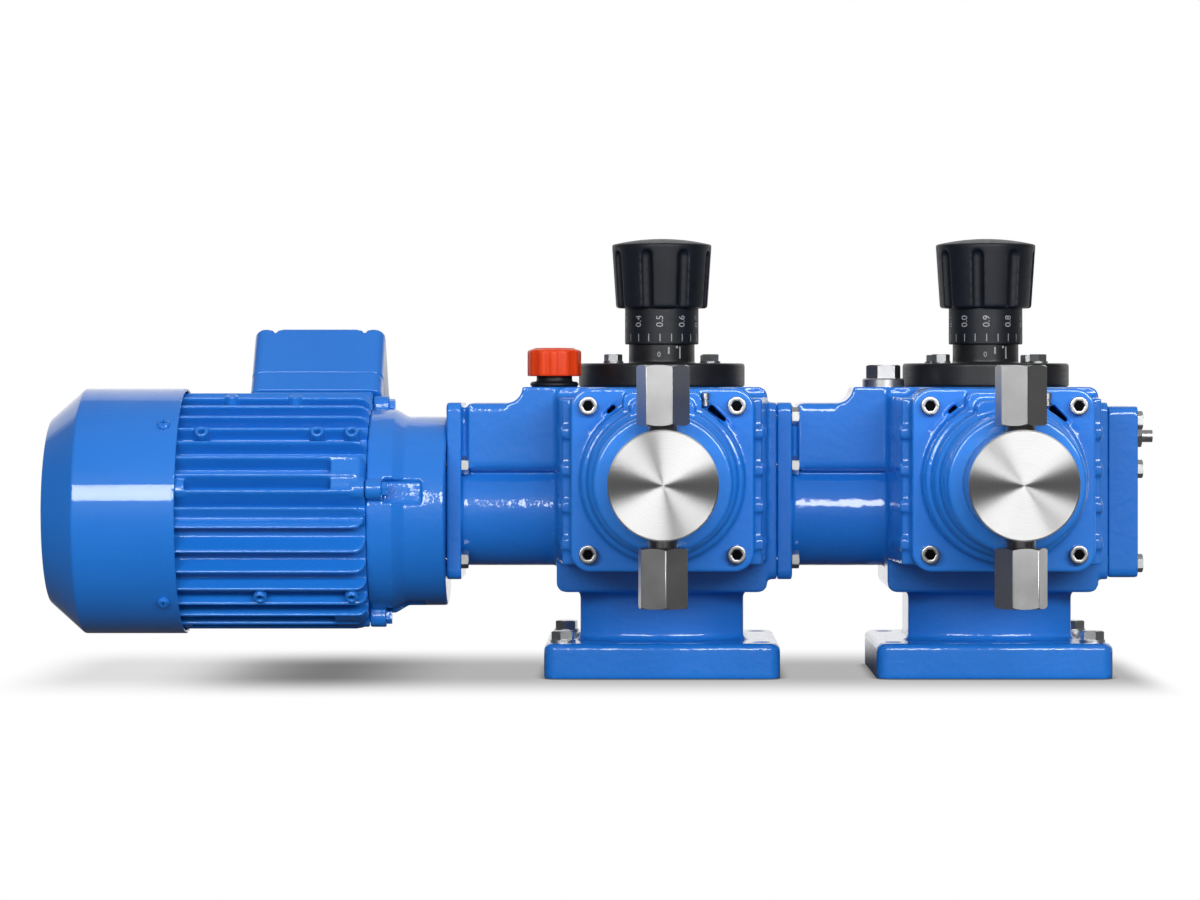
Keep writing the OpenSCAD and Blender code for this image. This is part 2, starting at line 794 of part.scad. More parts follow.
module lantern(i) {
    lid = neck_half - 2;
    color(blue) at_unit(i) along_front(plunger_h) difference() {
        union() {
            rotate_extrude() lantern_profile();
            translate([0, 0, neck_front]) linear_extrude(plate_t)
                difference() {
                    rounded_square(neck_half, neck_corner);
                    circle(lantern_bore_r);
                }
            translate([0, 0, neck_front]) linear_extrude(plate_t + boss_l) difference() {
                rounded(-saddle_half, 0, saddle_half, lid, 5);
                circle(boss_r - 5);
            }
            translate([0, 0, neck_front]) linear_extrude(plate_t + boss_l + step_l)
                difference() {
                    rounded(-saddle_half + 4, 0, saddle_half - 4, lid - 5, 5);
                    circle(step_r - 5);
                }
        }
        corners(plate_screw_pitch, plate_screw_pitch) translate([0, 0, neck_front - 1])
            cylinder(r = m6[0] + screw_gap, h = plate_t + 2);
        window_slots(neck_front - 1, plate_t + 2);
    }
}

module lantern_screws() {
    color(steel) for (i = [1, 2]) at_unit(i) along_front(plunger_h)
        corners(plate_screw_pitch, plate_screw_pitch) translate([0, 0, front_of_plate])
            socket_screw(m6[0], plate_t + 14);
}

module stop_pins() {
    color(steel) for (i = [1, 2]) at_unit(i)
        translate([saddle_half + 2.2, -front_of_plate - stop_pin_reach,
                plunger_h + neck_half - stop_pin_drop]) {
            cylinder(r = stop_pin_r, h = stop_pin_l);
            translate([0, 0, stop_pin_l / 2]) rotate([-90, 0, 0])
                cylinder(r = stop_pin_r - 0.5, h = stop_pin_reach);
        }
}

// Pump head
module pump_head(i) {
    edge = 0.8;
    back = barrel_front - head_spigot_l;
    face = barrel_front + head_t;
    color(steel) at_unit(i) difference() {
        along_front(plunger_h) rotate_extrude() polygon([[packing_r + seat_gap, back],
            [head_spigot_r, back], [head_spigot_r, barrel_front],
            [head_r, barrel_front], [head_r, face - edge], [head_r - edge, face], [0, face],
            [0, plunger_room], [plunger_r + 0.4, plunger_room],
            [plunger_r + 0.4, back + packing_l + 1],
            [packing_r + seat_gap, back + packing_l + 1]]);
        translate([0, -valve_y, plunger_h]) {
            translate([0, 0, -head_r - 1]) cylinder(r = chamber_bore_r, h = 2 * head_r + 2);
            translate([0, 0, head_r - neck_depth])
                cylinder(r = valve_neck_r + seat_gap, h = neck_depth + 1);
            translate([0, 0, -head_r - 1])
                cylinder(r = valve_neck_r + seat_gap, h = neck_depth + 1);
        }
    }
}

module packings() {
    color("#d8d2c0") for (i = [1, 2]) at_unit(i) along_front(plunger_h)
        translate([0, 0, barrel_front - head_spigot_l]) {
            for (k = [0 : 3]) translate([0, 0, k * packing_l / 4])
                ring(packing_r, plunger_r + run_gap, packing_l / 4 - 0.3);
        }
}

// Valve body from z = 0 at its port end up to the end of its neck
module valve_body(turn, neck_l) {
    rotate([0, 0, turn]) hex_body(valve_af, valve_l, true);
    translate([0, 0, valve_l - eps]) cylinder(r = valve_neck_r, h = neck_l + neck_depth);
}

// Port end of a valve, below or above the plunger axis
suction_end = plunger_h - head_r - suction_neck_l - valve_l;
discharge_end = plunger_h + head_r + discharge_neck_l + valve_l;
discharge_seat = port_l + 2 + cage_l;

module suction_valve(i) {
    full = valve_l + suction_neck_l + neck_depth;
    color(steel) at_unit(i) translate([0, -valve_y, suction_end]) difference() {
        valve_body(i == 1 ? -19 : 7, suction_neck_l);
        translate([0, 0, -1]) cylinder(r = port_r, h = port_l + 1);
        cylinder(r = seat_bore_r, h = port_l + seat_l + 1);
        translate([0, 0, port_l + seat_l]) cylinder(r = cage_r, h = cage_l);
        translate([0, 0, port_l + seat_l]) cylinder(r = 4, h = full);
    }
}

module discharge_valve(i) {
    full = valve_l + discharge_neck_l + neck_depth;
    color(steel) at_unit(i) translate([0, -valve_y, discharge_end]) mirror([0, 0, 1])
        difference() {
            valve_body(i == 1 ? 10 : 24, discharge_neck_l);
            translate([0, 0, -1]) cylinder(r = port_r, h = port_l + 1);
            cylinder(r = 4, h = discharge_seat);
            translate([0, 0, discharge_seat - cage_l]) cylinder(r = cage_r, h = cage_l);
            cylinder(r = seat_bore_r, h = full + 1);
        }
}

module suction_ball(i) {
    color(steel) at_unit(i)
        translate([0, -valve_y, suction_end + port_l + seat_l + ball_rise]) sphere(ball_r);
}

module discharge_ball(i) {
    color(steel) at_unit(i)
        translate([0, -valve_y, discharge_end - discharge_seat + ball_rise]) sphere(ball_r);
}

// Drive
module worm_wheel(i) {
    points = 8 * wheel_teeth;
    gap_r = wheel_r - mesh_gap;
    color(bronze) at_unit(i) translate([0, 0, worm_h]) difference() {
        union() {
            translate([0, 0, -wheel_w / 2]) rotate([0, 0, -wheel_twist / 2])
                linear_extrude(wheel_w, twist = -wheel_twist, slices = 2)
                    polygon([for (k = [0 : points - 1]) let(a = 360 * k / points)
                        (gap_r - thread_half * cos(wheel_teeth * (a + 90)))
                            * [cos(a), sin(a)]]);
            translate([0, 0, wheel_floor - worm_h])
                cylinder(r = wheel_hub_r, h = wheel_roof - wheel_floor);
        }
        translate([0, 0, wheel_floor - worm_h - 1])
            cylinder(r = spindle_r + seat_gap, h = wheel_roof - wheel_floor + 2);
    }
}

module eccentric(i) {
    color(steel) at_unit(i) {
        translate([0, 0, spindle_foot]) cylinder(r = spindle_r, h = wheel_roof - spindle_foot + 1);
        translate([0, 0, wheel_roof]) cylinder(r = spindle_r + 1.5, h = 2.4);
        translate([0, throw, wheel_roof + 2.4 - eps])
            cylinder(r = eccentric_r, h = plunger_h + yoke_h / 2 + 1 - wheel_roof - 2.4);
    }
}

module crosshead(i) {
    color(steel) at_unit(i) difference() {
        union() {
            translate([0, 0, plunger_h - yoke_h / 2]) linear_extrude(yoke_h)
                rounded(-yoke_front, -yoke_front, yoke_front, yoke_rear, 4);
            along_front(plunger_h) {
                translate([0, 0, yoke_front - 1]) cylinder(r = crosshead_r,
                    h = rod_end - yoke_front + 1);
                translate([0, 0, -yoke_rear - rear_rod_l])
                    cylinder(r = rear_rod_r, h = rear_rod_l + 1);
            }
        }
        translate([0, 0, plunger_h - yoke_h / 2 - 1]) linear_extrude(yoke_h + 2)
            rounded(-window_half, -window_half, window_half, window_half + stroke, 3);
        along_front(plunger_h) translate([0, 0, rod_end - rod_socket])
            cylinder(r = plunger_r + seat_gap, h = rod_socket + 1);
    }
}

module plunger(i) {
    color("#d9dcdf") at_unit(i) along_front(plunger_h) translate([0, 0, rod_end - rod_socket])
        rotate_extrude() polygon([[0, 0], [plunger_r, 0],
            [plunger_r, plunger_tip - rod_end + rod_socket - 1],
            [plunger_r - 1, plunger_tip - rod_end + rod_socket],
            [0, plunger_tip - rod_end + rod_socket]]);
}

module worm_bearings() {
    color(steel) for (i = [1, 2], x = [-bearing_out, bearing_out - bearing_w]) at_unit(i)
        on_worm(x) bearing(bearing_r, journal_r + run_gap, bearing_w);
}

// Worm shaft between two places along the unit
module worm_shaft(i, left, right) {
    color(steel) at_unit(i) {
        on_worm() translate([0, 0, left]) cylinder(r = journal_r, h = -bearing_in + 4 - left);
        on_worm() translate([0, 0, -bearing_in + 4 - eps])
            cylinder(r = worm_core_r, h = 2 * bearing_in - 8 + 2 * eps);
        on_worm() translate([0, 0, bearing_in - 4]) cylinder(r = journal_r,
            h = right - bearing_in + 4);
        on_worm() translate([0, 0, -worm_l / 2]) rotate([0, 0, -180 * worm_turns])
            linear_extrude(worm_l, twist = -360 * worm_turns, slices = 16 * worm_turns, $fn = 16)
                translate([thread_half, 0]) circle(r = worm_r);
    }
}

module couplings() {
    color("#8d9297") for (i = [1, 2]) at_unit(i)
        on_worm(-tube_reach + shaft_tip - coupling_l / 2)
            ring(coupling_r, journal_r + seat_gap, coupling_l);
}

// Stroke setting
module top_flange(i) {
    color(black) at_unit(i) difference() {
        rotate_extrude() polygon([[stroke_r + run_gap, housing_top - top_spigot_l],
            [chamber_r - seat_gap, housing_top - top_spigot_l],
            [chamber_r - seat_gap, housing_top], [top_r - 0.8, housing_top],
            [top_r, housing_top + 0.8], [top_r, top_face - 1], [top_r - 1, top_face],
            [sleeve_r, top_face], [sleeve_r, top_face + sleeve_h - 1],
            [sleeve_r - 1, top_face + sleeve_h], [stroke_r + run_gap, top_face + sleeve_h]]);
        top_bolt_places() translate([0, 0, housing_top - 1])
            cylinder(r = m6[0] + screw_gap, h = top_t + 2);
    }
}

module top_bolts() {
    color("#6d7175") for (i = [1, 2]) at_unit(i) top_bolt_places() translate([0, 0, top_face]) {
        ring(6.2, m6[0] + screw_gap, 1.2);
        translate([0, 0, 1.2]) rotate([0, 0, 15]) hex_screw(m6, top_t + 12);
    }
}

module stroke_spindle(i) {
    color(steel) at_unit(i) translate([0, 0, stroke_foot])
        cylinder(r = stroke_r, h = knob_z + knob_socket - 1 - stroke_foot);
}

module scale_ring(i) {
    edge = 0.5;
    color(black) at_unit(i) rotate_extrude() polygon([[sleeve_r + run_gap, ring_z],
        [ring_r - edge, ring_z], [ring_r, ring_z + edge], [ring_r, knob_z],
        [sleeve_r + run_gap, knob_z]]);
}

// Round-ended cutter that hangs down from its centre
module capsule(r, l) {
    rotate_extrude() intersection() {
        union() {
            circle(r);
            translate([0, -l]) square([r, l]);
        }
        translate([0, -l]) square([r, l + r]);
    }
}

module knob(i) {
    lip = 0.6;
    rise = knob_dome - lip;
    dome_r = (knob_high_r * knob_high_r + rise * rise) / (2 * rise);
    flute_top = knob_shoulder - 3 - flute_r;
    shift = (knob_high_r - knob_low_r) * 3 / knob_h;
    color(black) at_unit(i) rotate([0, 0, 12]) difference() {
        union() {
            rotate_extrude() polygon([[stroke_r + run_gap, knob_z], [knob_low_r - 1, knob_z],
                [knob_low_r, knob_z + 1], [knob_high_r, knob_shoulder], [0, knob_shoulder],
                [0, knob_z + knob_socket], [stroke_r + run_gap, knob_z + knob_socket]]);
            translate([0, 0, knob_shoulder - eps]) rotate_extrude() intersection() {
                translate([0, knob_dome - dome_r]) circle(dome_r);
                square([knob_high_r, knob_dome + 1]);
            }
        }
        for (k = [0 : flute_count - 1]) rotate([0, 0, 360 * k / flute_count])
            translate([knob_high_r + 0.6 - shift, 0, flute_top]) rotate([0, flute_lean, 0])
                capsule(flute_r, knob_h + 4);
    }
}

// Fillers
module vent_base() {
    color(black) at_unit(1) translate([-filler_x, -filler_y, housing_top]) {
        translate([0, 0, -10]) cylinder(r = 9 - seat_gap, h = 10 + eps);
        rotate_extrude() polygon([[0, 0], [vent_base_r, 0], [vent_base_r, vent_base_h - 1],
            [vent_base_r - 1, vent_base_h], [0, vent_base_h]]);
        translate([0, 0, vent_base_h - eps]) cylinder(r = 9, h = 6);
    }
}

module vent_cap() {
    ridge_r = 2.4;
    color(orange) at_unit(1) translate([-filler_x, -filler_y, housing_top + vent_base_h])
        difference() {
            union() {
                linear_extrude(vent_cap_h - 2) {
                    circle(vent_cap_r - 1.6);
                    for (k = [0 : vent_ridges - 1]) rotate([0, 0, 360 * k / vent_ridges])
                        translate([vent_cap_r - ridge_r, 0]) circle(ridge_r);
                }
                rotate_extrude() polygon([[0, 1], [vent_cap_r - 1.8, 1],
                    [vent_cap_r - 1.8, vent_cap_h - 2], [vent_cap_r - 4, vent_cap_h],
                    [0, vent_cap_h]]);
            }
            translate([0, 0, -1]) cylinder(r = 9 + seat_gap, h = 8);
        }
}

module filler_plug() {
    color(steel) at_unit(2) translate([-filler_x, -filler_y, housing_top]) {
        translate([0, 0, -10]) cylinder(r = 9 - seat_gap, h = 10 + eps);
        rotate_extrude() polygon([[0, 0], [plug_collar_r, 0], [plug_collar_r, 4.6],
            [plug_collar_r - 0.8, 5.4], [0, 5.4]]);
        translate([0, 0, 5.4 - eps]) rotate([0, 0, 8]) hex_body(19, 8.4);
    }
}

// Motor
module lug_places() {
    for (a = [0 : 90 : 270]) rotate([0, 0, lug_angle + a]) translate([lug_circle_r, 0, 0])
        children();
}

// One fin, seen along the motor: it points outwards at a distance y beside the middle of its quarter
module fin(y) {
    tip = sqrt(fin_r * fin_r - y * y);
    root = sqrt(frame_r * frame_r - y * y) - 4;
    translate([0, y]) polygon([[root, -fin_t / 2], [tip - 1.2, -fin_t * 0.4], [tip, -fin_t * 0.15],
        [tip, fin_t * 0.15], [tip - 1.2, fin_t * 0.4], [root, fin_t / 2]]);
}

module frame_boss(angle, z) {
    rotate([0, 0, angle]) translate([0, 0, z]) rotate([0, 90, 0]) difference() {
        translate([0, 0, frame_r - 4]) cylinder(r = frame_boss_r, h = fin_r - frame_r + 4.8);
        translate([0, 0, frame_r + 1]) cylinder(r = frame_boss_r / 2, h = 20);
    }
}

// The fins of each quarter stand parallel, and their ends are rounded at the drive end
module finned_tube() {
    round_x = fin_r - fin_end_r;
    round_z = frame_z + fin_end_r;
    difference() {
        translate([0, 0, frame_z]) {
            linear_extrude(frame_l) {
                circle(frame_r);
                for (a = [45, 135]) rotate([0, 0, a]) for (y = top_fins) fin(y);
                for (a = [-45, -135]) rotate([0, 0, a]) for (k = [-3.5 : 3.5]) fin(k * fin_pitch);
            }
            translate([0, 0, 2 * end_step]) linear_extrude(fin_pad_l) intersection() {
                circle(fin_r - 0.8);
                for (a = [45 : 90 : 315]) rotate([0, 0, a]) translate([45, top_fins[1]])
                    square([fin_r, top_fins[3] - top_fins[1]]);
            }
        }
        rotate_extrude() polygon(concat([[round_x, frame_z - 1]],
            [for (a = [0 : 15 : 90]) [round_x + fin_end_r * sin(a), round_z - fin_end_r * cos(a)]],
            [[fin_r + 1, round_z], [fin_r + 1, frame_z - 1]]));
    }
}

// Seat of the terminal box, from one distance out to the seat itself
module terminal_block(l, w, from, to) {
    start = terminal_l / 2 - max(0, frame_z - terminal_z);
    translate([start - l, -w / 2, from]) cube([l, w, to - from]);
}

module motor_frame() {
    seat_l = terminal_l - max(0, frame_z - terminal_z);
    color(blue) difference() {
        union() {
            difference() {
                on_motor() finned_tube();
                on_terminal() translate([1, 0, 0])
                    terminal_block(terminal_l + 2, terminal_w + 2, terminal_seat - 0.3, 2 * fin_r);
            }
            on_terminal() translate([-3 * end_step, 0, 0])
                terminal_block(seat_l - 3 * end_step, terminal_w, frame_r * 0.75, terminal_seat);
            on_motor() {
                lug_places() {
                    translate([0, 0, frame_z + end_step]) cylinder(r = lug_r, h = lug_l);
                    translate([0, 0, frame_end - lug_l - end_step])
                        cylinder(r = lug_r, h = lug_l);
                }
                for (b = bosses) frame_boss(b[0], frame_z + b[1]);
            }
        }
        on_motor() {
            translate([0, 0, frame_z - 1]) cylinder(r = frame_bore_r, h = frame_l + 2);
            lug_places() {
                translate([0, 0, frame_z - 1]) cylinder(r = m5[0] + seat_gap, h = lug_l);
                translate([0, 0, frame_end - lug_l + 1]) cylinder(r = m5[0] + seat_gap, h = lug_l);
            }
        }
    }
}

module drive_end_shield() {
    shaft_hole = motor_shaft_r + pass_gap;
    inner = frame_bore_r - seat_gap;
    seat = motor_bearing_r + seat_gap;
    hollow = front_bearing_z - 8;
    boss_end = front_bearing_z + motor_bearing_w;
    color(blue) on_motor() difference() {
        union() {
            rotate_extrude() polygon([[shaft_hole, -spigot_l], [spigot_r, -spigot_l],
                [spigot_r, 0], [motor_flange_r - 1, 0], [motor_flange_r, 1],
                [motor_flange_r, motor_flange_t], [shield_r, rim_z], [shield_r, frame_z],
                [inner, frame_z], [inner, frame_z + spigot_in], [inner - 5, frame_z + spigot_in],
                [inner - 5, hollow], [seat + 5, hollow], [seat + 5, boss_end], [seat, boss_end],
                [seat, front_bearing_z], [shaft_hole, front_bearing_z]]);
            lug_places() translate([0, 0, lug_z]) cylinder(r = lug_r, h = frame_z - lug_z);
        }
        lug_places() {
            translate([0, 0, lug_z - 1]) cylinder(r = m5[0] + screw_gap, h = frame_z - lug_z + 2);
            translate([lug_floor_r - lug_circle_r, -lug_r - 0.8, lug_z - lug_pocket_l])
                cube([30, 2 * lug_r + 1.6, lug_pocket_l]);
        }
        corners(side_screw_pitch, side_screw_pitch) translate([0, 0, -1])
            cylinder(r = m6[0] + seat_gap, h = 15);
    }
}

module cowl_places() {
    for (a = [45 : 90 : 315]) rotate([0, 0, a]) children();
}

module rear_end_shield() {
    shaft_hole = motor_shaft_r + pass_gap;
    inner = frame_bore_r - seat_gap;
    seat = motor_bearing_r + seat_gap;
    boss_end = rear_bearing_z + motor_bearing_w;
    color(blue) on_motor() difference() {
        union() {
            rotate_extrude() polygon([[seat, frame_end - spigot_in], [inner, frame_end - spigot_in],
                [inner, frame_end], [frame_r, frame_end], [frame_r, frame_end + shield_t],
                [seat + 5, frame_end + shield_t], [seat + 5, boss_end + 3],
                [shaft_hole, boss_end + 3], [shaft_hole, boss_end], [seat, boss_end]]);
            lug_places() translate([0, 0, frame_end]) cylinder(r = lug_r, h = shield_t);
            intersection() {
                cowl_places() translate([frame_r - 8, -cowl_lug_w / 2, frame_end])
                    cube([30, cowl_lug_w, cowl_lug_l]);
                translate([0, 0, frame_end - 1])
                    cylinder(r = cowl_r - cowl_wall - seat_gap, h = cowl_lug_l + 2);
            }
        }
        lug_places() translate([0, 0, frame_end - 1])
            cylinder(r = m5[0] + screw_gap, h = shield_t + 2);
        cowl_places() translate([cowl_r - 12, 0, cowl_screw_z]) rotate([0, 90, 0])
            cylinder(r = m4[0] + seat_gap, h = 20);
    }
}

module shield_screws() {
    color(blue) on_motor() lug_places() {
        translate([0, 0, lug_z]) mirror([0, 0, 1]) hex_screw(m5, frame_z - lug_z + lug_l - 3);
        translate([0, 0, frame_end + shield_t]) hex_screw(m5, shield_t + lug_l - 3);
    }
}

module grille_slots() {
    first = 10;
    pitch = (cowl_back_r - 7 - first) / grille_rings;
    spoke = 4;
    difference() {
        for (k = [0 : grille_rings - 1]) difference() {
            circle(first + k * pitch + pitch * 0.62);
            circle(first + k * pitch);
        }
        for (a = [0 : 45 : 135]) rotate([0, 0, a])
            square([2 * cowl_r, spoke], center = true);
    }
}

module fan_cowl() {
    inner = cowl_r - cowl_wall;
    bevel_z = cowl_end - cowl_bevel_l;
    rim = cowl_back_r - 5;
    color(blue) on_motor() difference() {
        union() {
            rotate_extrude() polygon([[inner, cowl_z], [cowl_r, cowl_z], [cowl_r, bevel_z],
                [cowl_back_r, cowl_end], [rim - 1, cowl_end], [rim - 1, cowl_end - cowl_wall],
                [cowl_back_r - 1, cowl_end - cowl_wall], [inner, bevel_z - 1]]);
            translate([0, 0, cowl_end - cowl_wall]) linear_extrude(cowl_wall) difference() {
                circle(rim);
                grille_slots();
            }
        }
        cowl_places() translate([cowl_r - 10, 0, cowl_screw_z]) rotate([0, 90, 0])
            cylinder(r = m4[0] + screw_gap, h = 20);
    }
}

module cowl_screws() {
    color(blue) on_motor() cowl_places() translate([cowl_r, 0, cowl_screw_z]) rotate([0, 90, 0])
        pan_screw(m4[0], 9, 4, 2.4);
}

module stator() {
    slots = 24;
    color("#8a6a4a") on_motor() {
        translate([0, 0, core_z]) linear_extrude(core_l) difference() {
            circle(frame_bore_r - seat_gap);
            circle(core_bore_r);
            for (k = [0 : slots - 1]) rotate([0, 0, 360 * k / slots])
                translate([core_bore_r - 1, -2]) square([13, 4]);
        }
        for (z = [core_z - winding_l, core_z + core_l]) translate([0, 0, z])
            ring(core_bore_r + 20, core_bore_r + 3, winding_l);
    }
}

module motor_bearings() {
    color(steel) on_motor() for (z = [front_bearing_z, rear_bearing_z]) translate([0, 0, z])
        bearing(motor_bearing_r, motor_shaft_r + run_gap, motor_bearing_w);
}

module rotor_core() {
    color("#8f9499") on_motor() translate([0, 0, core_z])
        ring(core_bore_r - air_gap, motor_shaft_r + seat_gap, core_l);
}

module motor_shaft() {
    step_z = front_bearing_z - 2;
    rear_z = rear_bearing_z + motor_bearing_w;
    color(steel) on_motor() rotate_extrude() polygon([[0, -shaft_tip], [journal_r - 0.8, -shaft_tip],
        [journal_r, -shaft_tip + 0.8], [journal_r, step_z], [motor_shaft_r, step_z],
        [motor_shaft_r, rear_z], [fan_bore_r, rear_z], [fan_bore_r, fan_z + fan_l + 2],
        [0, fan_z + fan_l + 2]]);
}

module cooling_fan() {
    blades = 8;
    color("#20242a") on_motor() translate([0, 0, fan_z]) difference() {
        union() {
            cylinder(r = 13, h = fan_l);
            cylinder(r = fan_r * 0.75, h = 2.5);
            linear_extrude(fan_l) for (k = [0 : blades - 1]) rotate([0, 0, 360 * k / blades])
                translate([10, -1]) square([fan_r - 10, 2]);
        }
        translate([0, 0, -1]) cylinder(r = fan_bore_r + seat_gap, h = fan_l + 2);
    }
}

// Terminal box
module terminal_outline(inset = 0) {
    x = terminal_l / 2 - inset;
    y = terminal_w / 2 - inset;
    rounded(-x, -y, x, y, terminal_corner - inset / 2);
}

module pocket_places() {
    corners(terminal_l / 2 - 13, terminal_w / 2 - pocket_r) children();
}

module terminal_base() {
    color(blue) on_terminal() translate([0, 0, terminal_seat]) difference() {
        linear_extrude(terminal_base_h) terminal_outline();
        translate([0, 0, terminal_wall]) linear_extrude(terminal_base_h) difference() {
            terminal_outline(terminal_wall);
            pocket_places() circle(pocket_r);
        }
        translate([0, 0, -1]) cylinder(r = 12, h = terminal_wall + 2);
        pocket_places() translate([0, 0, terminal_base_h - 10])
            cylinder(r = m4[0] + seat_gap, h = 11);
        translate([0, terminal_w / 2 - gland_in - 1, terminal_base_h / 2])
            rotate([-90, 0, 0]) cylinder(r = gland_r + seat_gap, h = gland_in + 2);
    }
}

module terminal_lid() {
    edge = 3;
    color(blue) on_terminal() translate([0, 0, terminal_lid_z]) difference() {
        hull() {
            linear_extrude(terminal_lid_h - edge) terminal_outline($fn = 32);
            linear_extrude(terminal_lid_h) terminal_outline(edge, $fn = 32);
        }
        translate([0, 0, -1]) linear_extrude(terminal_lid_h - terminal_wall + 1) difference() {
            terminal_outline(terminal_wall);
            pocket_places() circle(pocket_r + 1.5);
        }
        pocket_places() {
            translate([0, 0, -1]) cylinder(r = m4[0] + screw_gap, h = terminal_lid_h);
            translate([0, 0, terminal_lid_h - pocket_depth]) cylinder(r = pocket_r, h = 10);
        }
    }
}

module lid_screws() {
    color(steel) on_terminal() translate([0, 0, terminal_lid_z + terminal_lid_h - pocket_depth])
        pocket_places() pan_screw(m4[0], terminal_lid_h - pocket_depth + 9, 3.6, 2.4);
}

module cable_gland() {
    color(black) on_terminal()
        translate([0, terminal_w / 2, terminal_seat + terminal_base_h / 2]) rotate([-90, 0, 0])
            difference() {
                union() {
                    translate([0, 0, -gland_in]) cylinder(r = gland_r, h = gland_in + 1);
                    hex_body(17, 5);
                    rotate_extrude() polygon([[0, 5 - eps], [7.8, 5 - eps], [7.8, 13], [6, 16],
                        [0, 16]]);
                }
                translate([0, 0, -gland_in - 1]) cylinder(r = gland_r / 2, h = 30);
            }
}

motor_frame();
drive_end_shield();
rear_end_shield();
fan_cowl();
cowl_screws();
shield_screws();
stator();
motor_bearings();
terminal_base();
terminal_lid();
lid_screws();
cable_gland();
rotor_core();
motor_shaft();
cooling_fan();
couplings();
worm_shaft(1, shaft_left, shaft_right);  // worm_shaft_1
worm_shaft(2, shaft_left, bearing_out + 3);  // worm_shaft_2
worm_bearings();
gear_housing(1);  // gear_housing_1
gear_housing(2);  // gear_housing_2
side_screws();
end_cover();
oil_plugs();
worm_wheel(1);  // worm_wheel_1
worm_wheel(2);  // worm_wheel_2
eccentric(1);  // eccentric_1
eccentric(2);  // eccentric_2
crosshead(1);  // crosshead_1
crosshead(2);  // crosshead_2
plunger(1);  // plunger_1
plunger(2);  // plunger_2
lantern(1);  // lantern_1
lantern(2);  // lantern_2
lantern_screws();
stop_pins();
pump_head(1);  // pump_head_1
pump_head(2);  // pump_head_2
packings();
suction_valve(1);  // suction_valve_1
suction_valve(2);  // suction_valve_2
discharge_valve(1);  // discharge_valve_1
discharge_valve(2);  // discharge_valve_2
suction_ball(1);  // suction_ball_1
suction_ball(2);  // suction_ball_2
discharge_ball(1);  // discharge_ball_1
discharge_ball(2);  // discharge_ball_2
top_flange(1);  // top_flange_1
top_flange(2);  // top_flange_2
top_bolts();
stroke_spindle(1);  // stroke_spindle_1
stroke_spindle(2);  // stroke_spindle_2
scale_ring(1);  // scale_ring_1
scale_ring(2);  // scale_ring_2
knob(1);  // knob_1
knob(2);  // knob_2
vent_base();
vent_cap();
filler_plug();
foot_bolts();
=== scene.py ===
"""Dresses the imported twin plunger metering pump: softened castings, turned and milled steel,
the printed scale rings, studio light and the camera of the photograph."""

import json
import math

import bmesh
import bpy
from mathutils import Matrix, Vector

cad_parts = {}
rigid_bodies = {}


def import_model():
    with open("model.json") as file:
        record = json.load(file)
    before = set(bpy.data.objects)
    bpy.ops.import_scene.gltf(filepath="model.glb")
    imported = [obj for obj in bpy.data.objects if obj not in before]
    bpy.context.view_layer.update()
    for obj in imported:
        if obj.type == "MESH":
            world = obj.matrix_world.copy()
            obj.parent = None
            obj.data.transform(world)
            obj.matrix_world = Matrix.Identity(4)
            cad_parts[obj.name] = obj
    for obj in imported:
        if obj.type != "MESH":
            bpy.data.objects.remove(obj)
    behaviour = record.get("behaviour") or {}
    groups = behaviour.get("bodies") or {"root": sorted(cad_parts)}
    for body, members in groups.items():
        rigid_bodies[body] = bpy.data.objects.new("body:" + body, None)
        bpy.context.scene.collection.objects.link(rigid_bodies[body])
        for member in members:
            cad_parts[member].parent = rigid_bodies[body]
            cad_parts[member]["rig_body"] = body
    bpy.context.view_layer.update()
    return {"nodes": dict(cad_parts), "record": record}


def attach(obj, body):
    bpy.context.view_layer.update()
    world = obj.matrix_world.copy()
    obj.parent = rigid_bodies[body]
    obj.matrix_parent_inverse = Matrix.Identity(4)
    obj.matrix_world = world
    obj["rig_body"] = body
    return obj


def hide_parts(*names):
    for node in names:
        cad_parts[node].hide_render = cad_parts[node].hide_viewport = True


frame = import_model()

scene = bpy.context.scene
scene.view_settings.view_transform = "Standard"

MM = 0.001
SLOTS = {part["node"]: part["material_slot"] for part in frame["record"]["subparts"]}

# Places and sizes that the dressing needs, in mm
UNIT_X = {1: -103.5, 2: 103.5}   # middles of the two units
PLUNGER_H = 125.0                # height of the plunger axis
RING_Z = 208.6                   # foot of the scale ring
RING_R = 23.5                    # radius of the scale ring
SLEEVE_R = 21.0                  # radius of the sleeve under it
SCREW_PITCH = 45.0               # from the plunger axis to the lantern screws, both ways
# The sockets' radius and depth also place the near-black painted shade inside them
SOCKET_R = 3.24                  # radius over the corners of their sockets
SOCKET_Y = -145.3                # middle of the sockets' depth
PIN_PLACE = (26, -143.8)         # stop pin, from the middle of its unit
VENT_PLACE = (UNIT_X[1] - 67.7, -42)
CAP_Z = 188.2                    # underside of the vent cap
LID_Z = 190.0                    # foot of the terminal lid
BOX_RIGHT = -282.0               # right side of the terminal box
COVER_LOW = 61.0                 # underside of the end cover


# ---------------------------------------------------------------- materials


SPAN_ENDS = ("From Min", "From Max", "To Min", "To Max")


